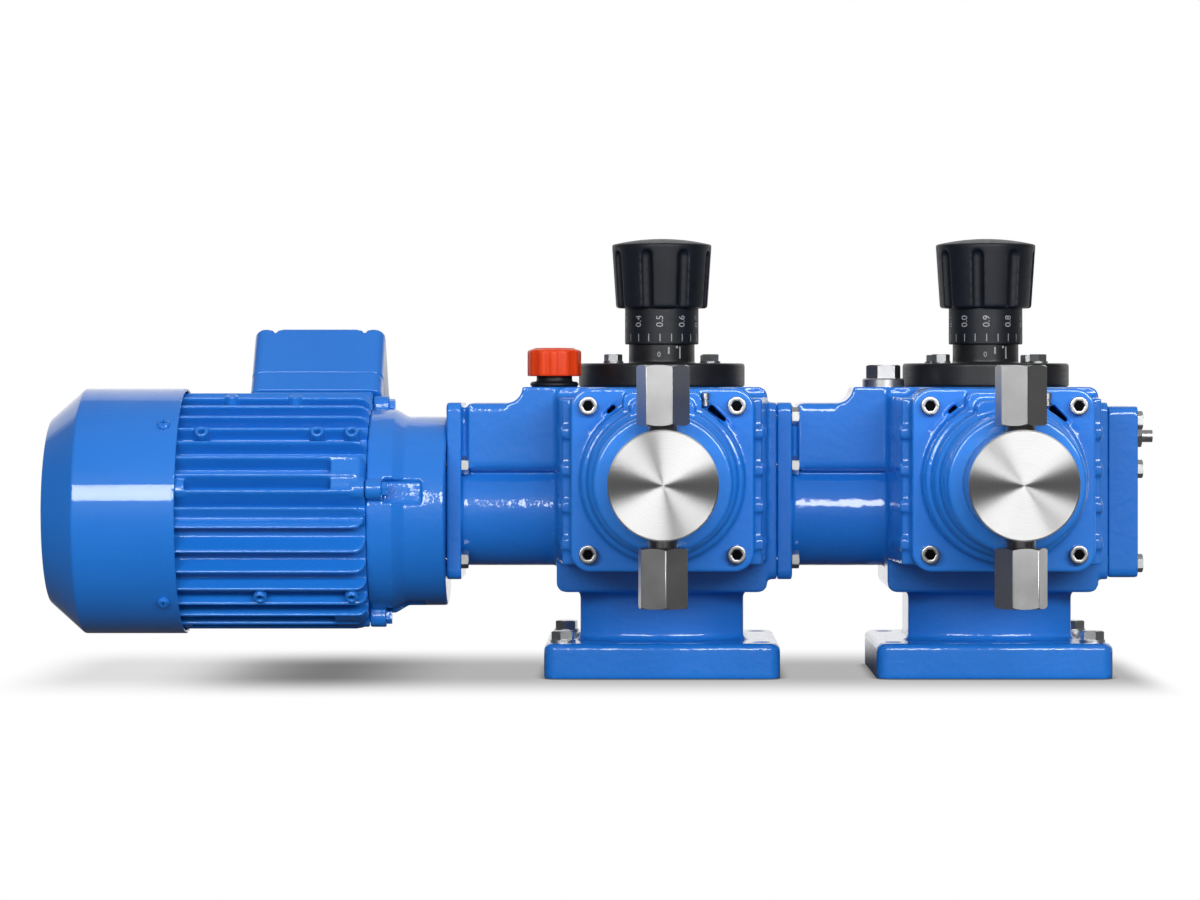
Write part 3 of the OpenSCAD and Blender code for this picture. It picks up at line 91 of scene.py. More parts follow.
class Finish:
    """A node material with its principled shader and short calls for the nodes round it."""

    def __init__(self, name, colour, **values):
        self.material = bpy.data.materials.new(name)
        self.material.use_nodes = True
        self.nodes = self.material.node_tree.nodes
        self.links = self.material.node_tree.links
        self.shader = self.nodes["Principled BSDF"]
        self.shader.inputs["Base Color"].default_value = (*colour, 1)
        for key, value in values.items():
            self.shader.inputs[key.replace("_", " ")].default_value = value
        self.place = self.nodes.new("ShaderNodeTexCoord").outputs["Object"]

    def add(self, kind, **values):
        node = self.nodes.new(kind)
        for key, value in values.items():
            setattr(node, key, value)
        return node

    def join(self, value, socket):
        """Links a node's output to a socket, or sets the socket to a plain value."""
        if isinstance(value, bpy.types.NodeSocket):
            self.links.new(value, socket)
        else:
            socket.default_value = value

    def noise(self, scale, detail=2.0, roughness=0.5, place=None, stretch=None):
        """Noise on the piece's own coordinates; scale is in waves per metre."""
        node = self.add("ShaderNodeTexNoise")
        node.inputs["Scale"].default_value = scale
        node.inputs["Detail"].default_value = detail
        node.inputs["Roughness"].default_value = roughness
        place = place or self.place
        if stretch:
            place = self.mapped(place, stretch)
        self.links.new(place, node.inputs["Vector"])
        return node.outputs["Fac"]

    def mapped(self, place, scale=(1, 1, 1), shift=(0, 0, 0)):
        node = self.add("ShaderNodeMapping")
        node.inputs["Location"].default_value = shift
        node.inputs["Scale"].default_value = scale
        self.links.new(place, node.inputs["Vector"])
        return node.outputs["Vector"]

    def span(self, value, low, high, to_low, to_high, smooth=False):
        """Maps a value from one range to another, clamped."""
        node = self.add("ShaderNodeMapRange")
        if smooth:
            node.interpolation_type = "SMOOTHSTEP"
        self.links.new(value, node.inputs["Value"])
        for key, number in zip(SPAN_ENDS, (low, high, to_low, to_high)):
            node.inputs[key].default_value = number
        return node.outputs["Result"]

    def math(self, operation, first, second=None):
        node = self.add("ShaderNodeMath", operation=operation)
        self.join(first, node.inputs[0])
        if second is not None:
            self.join(second, node.inputs[1])
        return node.outputs[0]

    def blend(self, share, first, second):
        """Mixes two colours, each a colour or an output."""
        node = self.add("ShaderNodeMix", data_type="RGBA")
        self.join(share, node.inputs["Factor"])
        colours = [s for s in node.inputs if s.type == "RGBA"]
        for value, socket in zip((first, second), colours):
            self.join(value if isinstance(value, bpy.types.NodeSocket) else (*value, 1), socket)
        return next(s for s in node.outputs if s.type == "RGBA")

    def bump(self, height, distance, strength=1.0, under=None):
        node = self.add("ShaderNodeBump")
        node.inputs["Strength"].default_value = strength
        node.inputs["Distance"].default_value = distance
        self.links.new(height, node.inputs["Height"])
        if under:
            self.links.new(under, node.inputs["Normal"])
        return node.outputs["Normal"]

    def set(self, socket, value):
        self.join(value, self.shader.inputs[socket])


def blue_paint(name, lumps, light=1.0):
    """Glossy two-layer machine paint with the skin of sprayed paint; lumps is the height in metres
    of the casting's unevenness under it; light scales its colours, and above 1 paints light into a
    lighter copy."""
    f = Finish(name, (0.011, 0.162, 0.60), Roughness=0.42, Coat_Weight=1.0, Coat_Roughness=0.07,
               Coat_IOR=1.54, Specular_IOR_Level=0.2)
    drift = f.noise(7, 3)
    speck = f.noise(420, 3, 0.6)
    # light above 1 lifts every colour: painted light, used for the lanterns
    deep, pale, dust = (tuple(light * c for c in colour) for colour in (
        (0.009, 0.153, 0.575), (0.013, 0.173, 0.625), (0.022, 0.20, 0.64)))
    colour = f.blend(f.span(drift, 0.35, 0.65, 0, 1), deep, pale)
    f.set("Base Color", f.blend(f.span(speck, 0.55, 0.8, 0, 0.3), colour, dust))
    f.set("Roughness", f.span(f.noise(55, 4), 0.3, 0.7, 0.36, 0.48))
    cast = f.bump(f.noise(230, 2, 0.5), lumps, under=f.bump(f.noise(60, 2, 0.5), lumps * 1.5))
    f.set("Normal", f.bump(f.noise(900, 2), 0.00002, under=cast))
    f.links.new(cast, f.shader.inputs["Coat Normal"])
    return f.material


def steel(name, colour, roughness, grain=(1, 1, 1), metallic=1.0):
    """Plain machined steel with fine marks along one direction."""
    f = Finish(name, colour, Metallic=metallic, Roughness=roughness)
    marks = f.noise(420, 2, 0.5, stretch=grain)
    shade = f.blend(f.span(marks, 0.3, 0.7, 0, 1), tuple(c * 0.96 for c in colour), colour)
    f.set("Base Color", shade)
    f.set("Roughness", f.span(f.noise(60, 3), 0.3, 0.7, roughness - 0.015, roughness + 0.04))
    return f.material


def turned_steel(unit):
    """A turned stainless face: fine rings round the plunger axis spread the light outwards."""
    f = Finish("turned_stainless_%d" % unit, (0.50, 0.50, 0.50), Metallic=1.0, Roughness=0.36,
               Anisotropic=1.0)
    centred = f.mapped(f.place, shift=(-UNIT_X[unit] * MM, 0, -PLUNGER_H * MM))
    apart = f.add("ShaderNodeSeparateXYZ")
    f.links.new(centred, apart.inputs[0])
    flat = f.add("ShaderNodeCombineXYZ")
    f.links.new(apart.outputs["X"], flat.inputs["X"])
    f.links.new(apart.outputs["Z"], flat.inputs["Z"])
    radius = f.add("ShaderNodeVectorMath", operation="LENGTH")
    f.links.new(flat.outputs[0], radius.inputs[0])
    outwards = f.add("ShaderNodeVectorMath", operation="NORMALIZE")
    f.links.new(flat.outputs[0], outwards.inputs[0])
    f.links.new(outwards.outputs[0], f.shader.inputs["Tangent"])
    rings = f.add("ShaderNodeTexNoise", noise_dimensions="1D")
    rings.inputs["Scale"].default_value = 2600
    rings.inputs["Detail"].default_value = 3
    f.links.new(radius.outputs["Value"], rings.inputs["W"])
    ring = rings.outputs["Fac"]
    f.set("Base Color", f.blend(f.span(ring, 0.3, 0.7, 0, 1), (0.45,) * 3, (0.55,) * 3))
    f.set("Normal", f.bump(ring, 0.000004))
    return f.material


def black_coat():
    """Blackened turned flange: satin, with faint turning rings."""
    f = Finish("black_satin_coat", (0.009, 0.0095, 0.011), Roughness=0.36, Coat_Weight=0.1,
               Coat_Roughness=0.25, Specular_IOR_Level=0.3)
    marks = f.noise(900, 3, 0.6, stretch=(0.15, 0.15, 1))
    f.set("Roughness", f.span(marks, 0.3, 0.7, 0.30, 0.46))
    f.set("Base Color", f.blend(f.span(f.noise(45, 3), 0.35, 0.65, 0, 1), (0.006, 0.0065, 0.0075),
                                (0.011, 0.0115, 0.0135)))
    f.set("Normal", f.bump(marks, 0.00002))
    return f.material


def plastic(name, dark, light, roughness, shine=0.5, grain=1400, depth=0.00002):
    """Moulded plastic with a fine spark-eroded grain."""
    f = Finish(name, light, Roughness=roughness, Specular_IOR_Level=shine)
    f.set("Base Color", f.blend(f.span(f.noise(30, 3), 0.3, 0.7, 0, 1), dark, light))
    f.set("Roughness", f.span(f.noise(200, 3), 0.3, 0.7, roughness - 0.05, roughness + 0.07))
    f.set("Normal", f.bump(f.noise(grain, 2), depth))
    return f.material


MATERIALS = {
    "blue_paint": blue_paint("blue_paint_on_castings", 0.00020),
    "stainless": steel("satin_stainless", (0.46, 0.46, 0.465), 0.30, (1, 1, 0.6)),
    "zinc_steel": steel("zinc_plated_steel", (0.60, 0.61, 0.60), 0.30),
    "dark_steel": steel("dark_machined_steel", (0.30, 0.305, 0.31), 0.34),
    "black_coat": black_coat(),
    "black_plastic": plastic("black_plastic", (0.004, 0.0055, 0.009), (0.007, 0.009, 0.014),
                             0.44, 0.3),
    "orange_plastic": plastic("orange_plastic", (0.64, 0.040, 0.005), (0.74, 0.056, 0.007),
                              0.34, 0.2),
    "bronze": steel("wheel_bronze", (0.62, 0.42, 0.20), 0.32),
    "ceramic_white": plastic("ceramic", (0.78, 0.77, 0.74), (0.84, 0.83, 0.80), 0.22),
    "packing": plastic("packing_rings", (0.10, 0.095, 0.085), (0.15, 0.14, 0.125), 0.7),
    "copper_core": steel("wound_core", (0.55, 0.30, 0.18), 0.42),
}

# The paint on sheet is smoother than on sand castings; the lanterns get a copy of the casting paint
# made lighter, painted light that brightens their shaded front faces
SHEET_PAINT = blue_paint("blue_paint_on_sheet", 0.000018)
LANTERN_PAINT_WITH_PAINTED_LIGHT = blue_paint("blue_paint_on_lanterns_painted_lighter", 0.00016, 1.18)
PAINT = {"fan_cowl": SHEET_PAINT, "terminal_lid": SHEET_PAINT, "terminal_base": SHEET_PAINT,
         "lantern_1": LANTERN_PAINT_WITH_PAINTED_LIGHT, "lantern_2": LANTERN_PAINT_WITH_PAINTED_LIGHT}

# Near-black finish of the painted shade in the screw sockets
SOCKET_SHADOW_FINISH = plastic("black_painted_socket_shadow", (0.0015, 0.0015, 0.0018), (0.0025, 0.0025, 0.003), 0.8, 0.05)
PRINT = plastic("white_print", (0.25, 0.255, 0.265), (0.33, 0.335, 0.345), 0.5)
TURNED = {unit: turned_steel(unit) for unit in (1, 2)}


# ------------------------------------------------------------------- pieces


def dress(piece, body, slot, material=None, nodes=()):
    """Puts a finished piece on its body with its finish, in place of the nodes it stands for."""
    piece.data.materials.clear()
    piece.data.materials.append(material or MATERIALS[slot])
    if nodes:
        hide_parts(*nodes)
    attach(piece, body)
    return piece


def whole_copy(node):
    """A CAD node's triangles as one closed mesh in a bmesh."""
    bm = bmesh.new()
    bm.from_mesh(frame["nodes"][node].data)
    bmesh.ops.remove_doubles(bm, verts=bm.verts, dist=2e-6)
    return bm


def settled(piece):
    """Bakes a piece's modifiers into its mesh."""
    view = bpy.context.evaluated_depsgraph_get()
    mesh = bpy.data.meshes.new_from_object(piece.evaluated_get(view))
    piece.modifiers.clear()
    old, piece.data = piece.data, mesh
    bpy.data.meshes.remove(old)
    mesh.name = piece.name
    return piece


def piece_of(bm, name):
    mesh = bpy.data.meshes.new(name)
    bm.to_mesh(mesh)
    bm.free()
    piece = bpy.data.objects.new(name, mesh)
    scene.collection.objects.link(piece)
    return piece


def block(bm, corners):
    """Adds a closed block of four corners at the low end and four at the high end, in mm."""
    verts = [bm.verts.new(Vector(c) * MM) for c in corners]
    for face in ((3, 2, 1, 0), (4, 5, 6, 7), (0, 1, 5, 4),
                 (1, 2, 6, 5), (2, 3, 7, 6), (3, 0, 4, 7)):
        bm.faces.new([verts[k] for k in face])
    new = [f for f in bm.faces if all(v in verts for v in f.verts)]
    bmesh.ops.recalc_face_normals(bm, faces=new)


def straight_block(bm, x, y, z):
    """Adds a block between two places along each axis."""
    block(bm, [(x[a], y[b], z[c]) for c in (0, 1) for a, b in ((0, 0), (1, 0), (1, 1), (0, 1))])


def fill_housing(bm, unit):
    """Shapes of the gear unit that only its looks need: the neck's sides between shallower ribs,
    and the core between the left flange and the raised box."""
    middle = UNIT_X[unit]
    neck = 55.5
    for v in bm.verts:
        apart = v.co.x / MM - middle
        if v.co.y < -61 * MM and abs(apart) > neck + 0.5 and 80 * MM < v.co.z < 160 * MM:
            v.co.x = (middle + math.copysign(neck + (abs(apart) - neck) * 0.62, apart)) * MM
    for side in (-1, 1):
        low = [(50, -59, 73), (65.5, -59, 73), (61, -122.5, 73), (50, -122.5, 73)]
        high = [(50, -59, 175.5), (65.5, -59, 175.5), (61, -122.5, 174.5), (50, -122.5, 174.5)]
        block(bm, [(middle + side * x, y, z) for x, y, z in low + high])
    straight_block(bm, (middle - 127, middle - 118), (-52, 6), (132, 168.3))
    straight_block(bm, (middle - 121.6, middle - 119), (-57.8, 9), (130, 171))


def fit_terminal_box(bm):
    """Widens the terminal box a little to its left and raises its lid, as seen in the photograph."""
    for v in bm.verts:
        v.co.x = (BOX_RIGHT + (v.co.x / MM - BOX_RIGHT) * 1.028) * MM
        v.co.z += 0.8 * MM
        if v.co.z > LID_Z * MM:
            v.co.z = (LID_Z + (v.co.z / MM - LID_Z) * 1.12) * MM


def fit_end_cover(bm):
    """Sets the end cover a little less high, with its underside a little up."""
    for v in bm.verts:
        v.co.z = (COVER_LOW + 1.2 + (v.co.z / MM - COVER_LOW) * 107.2 / 110.8) * MM


def fill_lantern(bm, unit):
    """Narrows the slits beside the saddle to wedges; each wedge is drawn in the slit's own
    directions, along and across the diagonal."""
    for side, start, width in ((1, -15, 4.6), (-1, -12, 3.1)):
        shape = ((46, -13), (54, -13), (54, start), (53.6 - width, 12.6), (46, 12.6))
        low, high = [], []
        for u, t in shape:
            x, z = (u - t) * math.sqrt(0.5), (u + t) * math.sqrt(0.5)
            for y, row in ((-131, low), (-140.6, high)):
                row.append(bm.verts.new(Vector((UNIT_X[unit] + side * x, y, PLUNGER_H + z)) * MM))
        faces = [bm.faces.new(low), bm.faces.new(high)]
        for k in range(5):
            faces.append(bm.faces.new((low[k], low[(k + 1) % 5], high[(k + 1) % 5], high[k])))
        bmesh.ops.recalc_face_normals(bm, faces=faces)


def casting(node, grain, rounds, keep):
    """A node as it comes out of the sand: every edge and every inner corner rounded."""
    bm = whole_copy(node)
    if node.startswith("gear_housing"):
        fill_housing(bm, int(node[-1]))
    elif node.startswith("lantern"):
        fill_lantern(bm, int(node[-1]))
    elif node.startswith("terminal"):
        fit_terminal_box(bm)
    elif node == "end_cover":
        fit_end_cover(bm)
    return softened(bm, node, grain, rounds, keep, PAINT.get(node))


def softened(bm, node, grain, rounds, keep, material=None):
    """A closed mesh with its edges rounded, in place of a node."""
    piece = piece_of(bm, node + "_softened")
    skin = piece.modifiers.new("skin", "REMESH")
    skin.mode = "VOXEL"
    skin.voxel_size = grain * MM
    skin.use_smooth_shade = True
    ease = piece.modifiers.new("ease", "SMOOTH")
    ease.factor = 0.5
    ease.iterations = rounds
    thin = piece.modifiers.new("thin", "DECIMATE")
    thin.ratio = keep
    settled(piece)
    return dress(piece, frame["nodes"][node]["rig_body"], SLOTS[node], material, nodes=(node,))


def turned_copy(node, angle):
    """A node's mesh turned about the upright line through its middle."""
    bm = whole_copy(node)
    low, high = (Vector([pick(v.co[k] for v in bm.verts) for k in range(3)]) for pick in (min, max))
    bmesh.ops.rotate(bm, verts=bm.verts, cent=(low + high) / 2,
                     matrix=Matrix.Rotation(math.radians(angle), 3, "Z"))
    return bm


def edged(node, angle, width):
    """A hexagon turned to the photograph, with its six upright edges broken."""
    bm = turned_copy(node, angle)
    upright = [e for e in bm.edges
               if e.is_manifold and e.calc_face_angle() > math.radians(40)
               and abs(e.verts[0].co.z - e.verts[1].co.z) > max(10 * MM, 0.99 * e.calc_length())]
    bmesh.ops.bevel(bm, geom=upright, offset=width * MM, segments=2, profile=0.5, affect="EDGES",
                    material=-1)
    piece = piece_of(bm, node + "_edged")
    piece.data.shade_smooth()
    piece.data.set_sharp_from_angle(angle=math.radians(12))
    return dress(piece, frame["nodes"][node]["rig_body"], SLOTS[node], nodes=(node,))


def painted_socket_shadows():
    """Near-black prisms set in the sockets of the lantern screws: painted shade that stands in for
    the shadow deep in each socket.
    """
    bm = bmesh.new()
    for unit in (1, 2):
        for x in (-SCREW_PITCH, SCREW_PITCH):
            for z in (-SCREW_PITCH, SCREW_PITCH):
                made = bmesh.ops.create_cone(bm, cap_ends=True, segments=6, radius1=SOCKET_R * MM,
                                             radius2=SOCKET_R * MM, depth=2.2 * MM)["verts"]
                bmesh.ops.rotate(bm, verts=made, matrix=Matrix.Rotation(math.radians(90), 3, "X"))
                bmesh.ops.translate(bm, verts=made, vec=Vector(
                    (UNIT_X[unit] + x, SOCKET_Y, PLUNGER_H + z)) * MM)
    piece = piece_of(bm, "painted_socket_shadows")
    return dress(piece, frame["nodes"]["lantern_screws"]["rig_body"], SLOTS["lantern_screws"],
                 SOCKET_SHADOW_FINISH)


def turned(bm, profile, middle):
    """Adds a round part: a profile of radius and height turned about an upright line."""
    known = set(bm.verts)
    verts = [bm.verts.new(Vector((r, 0, z)) * MM) for r, z in profile]
    edges = [bm.edges.new(pair) for pair in zip(verts, verts[1:])]
    bmesh.ops.spin(bm, geom=verts + edges, cent=(0, 0, 0), axis=(0, 0, 1), steps=48,
                   angle=2 * math.pi, use_merge=True)
    new = [v for v in bm.verts if v not in known]
    bmesh.ops.remove_doubles(bm, verts=new, dist=1e-6)
    new = [v for v in bm.verts if v not in known]
    bmesh.ops.translate(bm, verts=new, vec=Vector((*middle, 0)) * MM)
    bmesh.ops.recalc_face_normals(bm, faces=bm.faces)


def remade(bm, name, node, sharp=None):
    """A newly drawn or newly placed piece, in place of a node; sharp is the least angle in degrees
    of the edges that stay sharp on a round one."""
    piece = piece_of(bm, name)
    if sharp:
        piece.data.shade_smooth()
        piece.data.set_sharp_from_angle(angle=math.radians(sharp))
    return dress(piece, frame["nodes"][node]["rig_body"], SLOTS[node], nodes=(node,))


def vent_base():
    """The black neck of the vent with the ring that seals it."""
    bm = bmesh.new()
    turned(bm, ((0, 171.6), (8.9, 171.6), (8.9, 181.5), (14.2, 181.5), (15.2, 182.6), (15.2, 183.6),
                (14.2, 184.7), (11.6, 185), (11.2, 186), (11.2, 188.4), (8.9, 188.4), (8.9, 192.5),
                (0, 192.5)), VENT_PLACE)
    return remade(bm, "vent_base_turned", "vent_base", sharp=30)


def fit_vent_cap(bm):
    """A slightly wider cap with shallower flutes, clear of the ring under it."""
    middle = Vector(VENT_PLACE) * MM
    widest = max((v.co.xy - middle).length for v in bm.verts)
    for v in bm.verts:
        out = v.co.xy - middle
        if out.length > 0.8 * widest:
            out *= 1.04 * (widest - 0.4 * (widest - out.length)) / out.length
        v.co = (*(middle + out), max(v.co.z, CAP_Z * MM))


def stop_pins():
    """A small turned pin with a groove beside each saddle."""
    bm = bmesh.new()
    profile = ((0, 169.6), (2.2, 169.6), (2.6, 170), (2.6, 172.6), (1.9, 172.8), (1.9, 174),
               (2.6, 174.2), (2.6, 177.6), (2.2, 178), (0, 178))
    for unit in (1, 2):
        turned(bm, profile, (UNIT_X[unit] + PIN_PLACE[0], PIN_PLACE[1]))
    return remade(bm, "stop_pins_turned", "stop_pins", sharp=30)


def lid_screws():
    """The screws of the terminal lid, moved with it."""
    bm = whole_copy("lid_screws")
    fit_terminal_box(bm)
    return remade(bm, "lid_screws_placed", "lid_screws")


def side_screws():
    """The flange screws; those on the end cover sit a little lower and deeper."""
    bm = whole_copy("side_screws")
    for v in bm.verts:
        if v.co.x > 180 * MM:
            v.co.z -= 2.4 * MM
            v.co.x -= 0.9 * MM
    return remade(bm, "side_screws_placed", "side_screws")


def flat_text(words, size):
    """A line of print as a flat mesh, centred, reading along x."""
    curve = bpy.data.curves.new("print", "FONT")
    curve.body = words
    curve.size = size * MM
    curve.align_x = "CENTER"
    curve.align_y = "CENTER"
    text = bpy.data.objects.new("print", curve)
    scene.collection.objects.link(text)
    view = bpy.context.evaluated_depsgraph_get()
    mesh = bpy.data.meshes.new_from_object(text.evaluated_get(view))
    bpy.data.objects.remove(text)
    bpy.data.curves.remove(curve)
    return mesh


def print_words(bm, words, size, turn):
    """Adds a line of print to a flat sheet, turned in the sheet, and returns its vertices."""
    mesh = flat_text(words, size)
    mesh.transform(Matrix.Rotation(math.radians(turn), 4, "Z"))
    known = len(bm.verts)
    bm.from_mesh(mesh)
    bpy.data.meshes.remove(mesh)
    bm.verts.ensure_lookup_table()
    return bm.verts[known:]


def print_bar(bm, width, height):
    """Adds a bar to a flat sheet and returns its vertices."""
    bar = bmesh.ops.create_grid(bm, x_segments=1, y_segments=1, size=0.5 * MM)["verts"]
    bmesh.ops.scale(bm, verts=bar, vec=(width, height, 1))
    return bar


def wrap(verts, unit, radius, angle, height):
    """Lays flat print on a ring round a unit's axis, at an angle from the front."""
    around = (radius + 0.04) * MM
    for v in verts:
        a = math.radians(angle) + v.co.x / around
        v.co = (UNIT_X[unit] * MM + around * math.sin(a), -around * math.cos(a),
                v.co.y + height * MM)


def print_piece(bm, name, node):
    """Print that rides with the node it lies on."""
    piece = piece_of(bm, name)
    return dress(piece, frame["nodes"][node]["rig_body"], SLOTS[node], PRINT)


def ring_marks(unit, first, way):
    """Ten numbers and twenty ticks round the scale ring, with one number at the front."""
    bm = bmesh.new()
    front = -2.8
    for k in range(20):
        wrap(print_bar(bm, 0.55, 4.8), unit, RING_R, 18 * k + front, RING_Z + 4.2)
    for k in range(10):
        number = print_words(bm, "0.%d" % ((first + k) % 10), 6.2, 90)
        wrap(number, unit, RING_R, 36 * way * k + front, RING_Z + 14.6)
    return print_piece(bm, "ring_marks_%d" % unit, "scale_ring_%d" % unit)


def sleeve_marks(unit):
    """The stroke marks on the sleeve under the ring: a nought, a bar, a dot and a longer bar."""
    bm = bmesh.new()
    wrap(print_words(bm, "0", 4.6, 0), unit, SLEEVE_R, -5, RING_Z - 6.6)
    wrap(print_bar(bm, 1.1, 4.4), unit, SLEEVE_R, 12, RING_Z - 4)
    dot = bmesh.ops.create_circle(bm, cap_ends=True, segments=12, radius=0.8 * MM)["verts"]
    wrap(dot, unit, SLEEVE_R, 27, RING_Z - 1.8)
    wrap(print_bar(bm, 1.0, 7.6), unit, SLEEVE_R, 33, RING_Z - 5.4)
    return print_piece(bm, "sleeve_marks_%d" % unit, "top_flange_%d" % unit)


# How each painted piece is softened: size of its grain in mm, rounds of easing, share of faces kept
CASTINGS = {
    "gear_housing_1": (1.2, 4, 0.3), "gear_housing_2": (1.2, 4, 0.3), "end_cover": (1.0, 3, 0.4),
    "lantern_1": (0.9, 3, 0.3), "lantern_2": (0.9, 3, 0.3),
    "fan_cowl": (0.8, 3, 0.25), "drive_end_shield": (0.9, 3, 0.3), "motor_frame": (0.9, 2, 0.3),
    "terminal_base": (0.9, 3, 0.35), "terminal_lid": (0.9, 3, 0.35),
}

# How each moulded or turned piece is turned to the photograph, in degrees, then as above
SOFTENED = {
    "knob_1": (14.5, 0.5, 22, 0.4), "knob_2": (19, 0.5, 22, 0.4),
    "lantern_screws": (0, 0.4, 2, 0.4), "top_flange_1": (0, 0.7, 3, 0.3),
    "top_flange_2": (0, 0.7, 3, 0.3), "vent_cap": (0, 0.5, 12, 0.4),
}

# How each hexagon is turned to the photograph, in degrees, and the width of its broken edges
EDGED = {
    "discharge_valve_1": (-19.3, 0.2), "discharge_valve_2": (14.7, 0.2),
    "suction_valve_1": (-4.7, 0.2), "suction_valve_2": (0, 0.2),
}


REMADE = {"stop_pins": stop_pins, "vent_base": vent_base, "side_screws": side_screws,
          "lid_screws": lid_screws}


def dress_nodes():
    """Every node in its finish, or the piece that takes its place."""
    # Painted shade: near-black prisms in the screw sockets
    painted_socket_shadows()
    for remake in REMADE.values():
        remake()
    for node, obj in frame["nodes"].items():
        if node in CASTINGS:
            casting(node, *CASTINGS[node])
        elif node in SOFTENED:
            angle, *how = SOFTENED[node]
            bm = turned_copy(node, angle)
            if node == "vent_cap":
                fit_vent_cap(bm)
            softened(bm, node, *how)
        elif node in EDGED:
            edged(node, *EDGED[node])
        elif node not in REMADE:
            face = TURNED[int(node[-1])] if node.startswith("pump_head") else None
            obj.data.materials.clear()
            obj.data.materials.append(face or MATERIALS[SLOTS[node]])


# -------------------------------------------------------------------- studio


class Shades:
    """Short calls for the nodes of the floor and the world."""

    def __init__(self, tree):
        self.nodes, self.links = tree.nodes, tree.links
        self.rays = self.nodes.new("ShaderNodeLightPath").outputs

    def span(self, value, low, high, to_low, to_high):
        node = self.nodes.new("ShaderNodeMapRange")
        node.interpolation_type = "SMOOTHSTEP"
        self.links.new(value, node.inputs["Value"])
        for key, number in zip(SPAN_ENDS, (low, high, to_low, to_high)):
            node.inputs[key].default_value = number
        return node.outputs["Result"]

    def two(self, operation, first, second):
        node = self.nodes.new("ShaderNodeMath")
        node.operation = operation
        for value, socket in ((first, node.inputs[0]), (second, node.inputs[1])):
            if isinstance(value, bpy.types.NodeSocket):
                self.links.new(value, socket)
            else:
                socket.default_value = value
        return node.outputs[0]

    def either(self, share, first, second):
        """The first value where share is 0, the second where it is 1."""
        return self.two("ADD", self.two("MULTIPLY", first, self.two("SUBTRACT", 1.0, share)),
                        self.two("MULTIPLY", second, share))

    def apart(self, vector):
        node = self.nodes.new("ShaderNodeSeparateXYZ")
        self.links.new(vector, node.inputs[0])
        return node.outputs


def floor():
    """A pale floor that is white to the camera but for the object's soft shadow: ambient occlusion
    near the contact, and a painted shadow band laid out by place under the pump. It is darker in
    front of the object to what shines."""
    bm = bmesh.new()
    bmesh.ops.create_grid(bm, x_segments=1, y_segments=1, size=1)
    bmesh.ops.scale(bm, verts=bm.verts, vec=(4, 3.2, 1))
    bmesh.ops.translate(bm, verts=bm.verts, vec=(-0.1, 0.6, -0.0003))
    obj = piece_of(bm, "floor")
    mat = bpy.data.materials.new("pale_floor")
    mat.use_nodes = True
    tree = mat.node_tree
    tree.nodes.remove(tree.nodes["Principled BSDF"])
    s = Shades(tree)
    open_above = tree.nodes.new("ShaderNodeAmbientOcclusion")
    open_above.samples = 24
    open_above.inputs["Distance"].default_value = 0.024
    place = s.apart(tree.nodes.new("ShaderNodeTexCoord").outputs["Object"])
    contact = s.span(open_above.outputs["AO"], 0.42, 0.99, 0.16, 1.0)
    # Painted shadow band: a soft dark strip drawn by place under the pump, darkest under the motor,
    # cast by no lamp
    along = s.two("ADD", s.span(place["X"], -0.52, -0.46, 0, 0.27),
                  s.span(place["X"], -0.43, -0.35, 0, 0.28))
    deep = s.span(s.two("ABSOLUTE", s.two("ADD", place["X"], 0.315), 0), 0.0, 0.09, 0.25, 0)
    across = s.span(s.two("ABSOLUTE", place["Y"], 0), 0.05, 0.24, 1, 0)
    painted_shadow_band = s.two("MULTIPLY", s.two("MULTIPLY", s.two("ADD", along, deep), across),
                 s.span(place["X"], 0.185, 0.212, 1, 0))
    shadow = s.two("MINIMUM", contact, s.two("SUBTRACT", 1.0, painted_shadow_band))
    shine = s.two("MULTIPLY", shadow, s.span(place["Y"], 0.05, 0.5, 0.10, 1.0))
    glossy = s.two("MAXIMUM", s.rays["Is Glossy Ray"], s.rays["Is Transmission Ray"])
    glow = tree.nodes.new("ShaderNodeEmission")
    s.links.new(s.either(glossy, shadow, shine), glow.inputs["Strength"])
    matt = tree.nodes.new("ShaderNodeBsdfDiffuse")
    matt.inputs["Color"].default_value = (0.25, 0.25, 0.25, 1)
    seen = tree.nodes.new("ShaderNodeMixShader")
    s.links.new(s.two("MAXIMUM", s.rays["Is Camera Ray"], glossy), seen.inputs[0])
    s.links.new(matt.outputs[0], seen.inputs[1])
    s.links.new(glow.outputs[0], seen.inputs[2])
    s.links.new(seen.outputs[0], tree.nodes["Material Output"].inputs["Surface"])
    obj.data.materials.append(mat)
    return obj


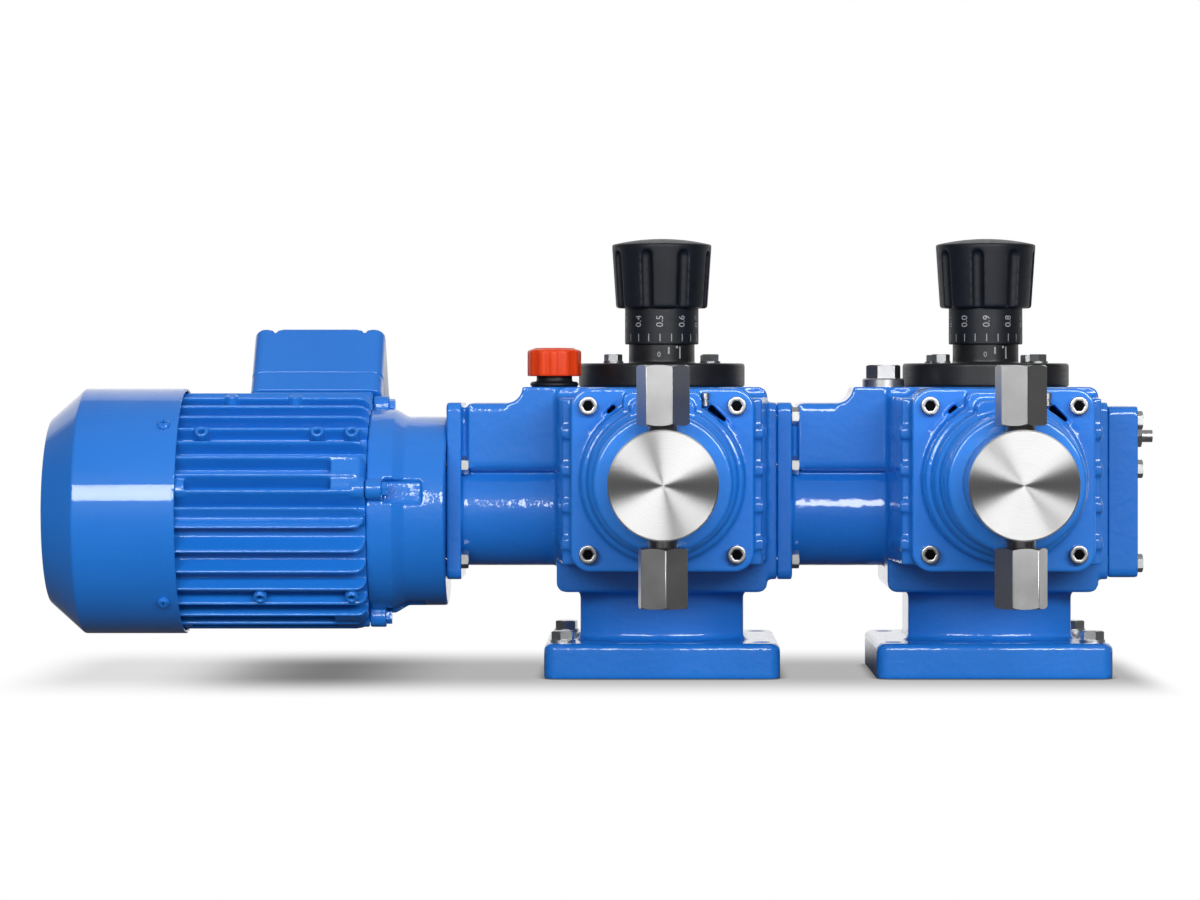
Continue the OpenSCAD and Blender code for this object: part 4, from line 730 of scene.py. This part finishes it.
def world():
    """White to the camera, plain light for surfaces, and for what shines a dim room with a
    white backdrop behind the object."""
    w = bpy.data.worlds.new("studio")
    w.use_nodes = True
    scene.world = w
    tree = w.node_tree
    s = Shades(tree)
    way = s.apart(tree.nodes.new("ShaderNodeTexCoord").outputs["Generated"])
    backdrop = s.two("MULTIPLY", s.span(way["Y"], 0.52, 0.70, 0.0, 1.1),
                     s.span(way["Z"], -0.05, 0.05, 0, 1))
    room = s.span(way["Z"], 0.2, 0.9, 0.13, 0.34)
    glossy = s.two("MAXIMUM", s.rays["Is Glossy Ray"], s.rays["Is Transmission Ray"])
    for_surfaces = s.either(glossy, 0.06, s.two("MAXIMUM", backdrop, room))
    s.links.new(s.either(s.rays["Is Camera Ray"], for_surfaces, 1.0),
                tree.nodes["Background"].inputs["Strength"])
    tree.nodes["Background"].inputs["Color"].default_value = (1, 1, 1, 1)


def softbox(name, size, place, aim, brightness, reflected=True):
    """An evenly bright panel, in metres; brightness is its radiance, where 1 is white."""
    light = bpy.data.lights.new(name, "AREA")
    light.shape = "RECTANGLE"
    light.size, light.size_y = size
    light.energy = brightness * math.pi * size[0] * size[1]
    obj = bpy.data.objects.new(name, light)
    scene.collection.objects.link(obj)
    obj.location = place
    obj.rotation_euler = (Vector(aim) - Vector(place)).to_track_quat("-Z", "Y").to_euler()
    obj.visible_glossy = reflected
    return obj


def studio():
    """Two long softboxes side by side above the camera, and a weak fill overhead."""
    floor()
    world()
    softbox("left_softbox", (1.52, 0.6), (-1.22, -2.6, 0.93), (-1.22, 0, 0.11), 12.2)
    softbox("right_softbox", (2.2, 0.6), (0.89, -2.6, 0.93), (0.89, 0, 0.11), 14.4)
    softbox("top_fill", (2.0, 1.4), (-0.1, 0, 1.7), (-0.1, 0, 0), 0.9, reflected=False)
    softbox("front_fill", (2.4, 1.2), (-0.1, -3.2, 0.2), (-0.1, 0, 0.12), 2.2, reflected=False)


def camera():
    """The view of the photograph: a long lens, level, straight at the fronts."""
    data = bpy.data.cameras.new("camera")
    data.sensor_width = 36
    data.lens = 126.69
    data.shift_x = -0.0417
    data.shift_y = -0.0542
    data.clip_end = 50
    obj = bpy.data.objects.new("camera", data)
    scene.collection.objects.link(obj)
    obj.location = (-0.111, -2.7, 0.1827)
    obj.rotation_euler = (math.radians(90), 0, 0)
    scene.camera = obj


camera()
studio()
dress_nodes()
for unit, front_number, way in ((1, 5, 1), (2, 9, -1)):
    ring_marks(unit, front_number, way)
    sleeve_marks(unit)
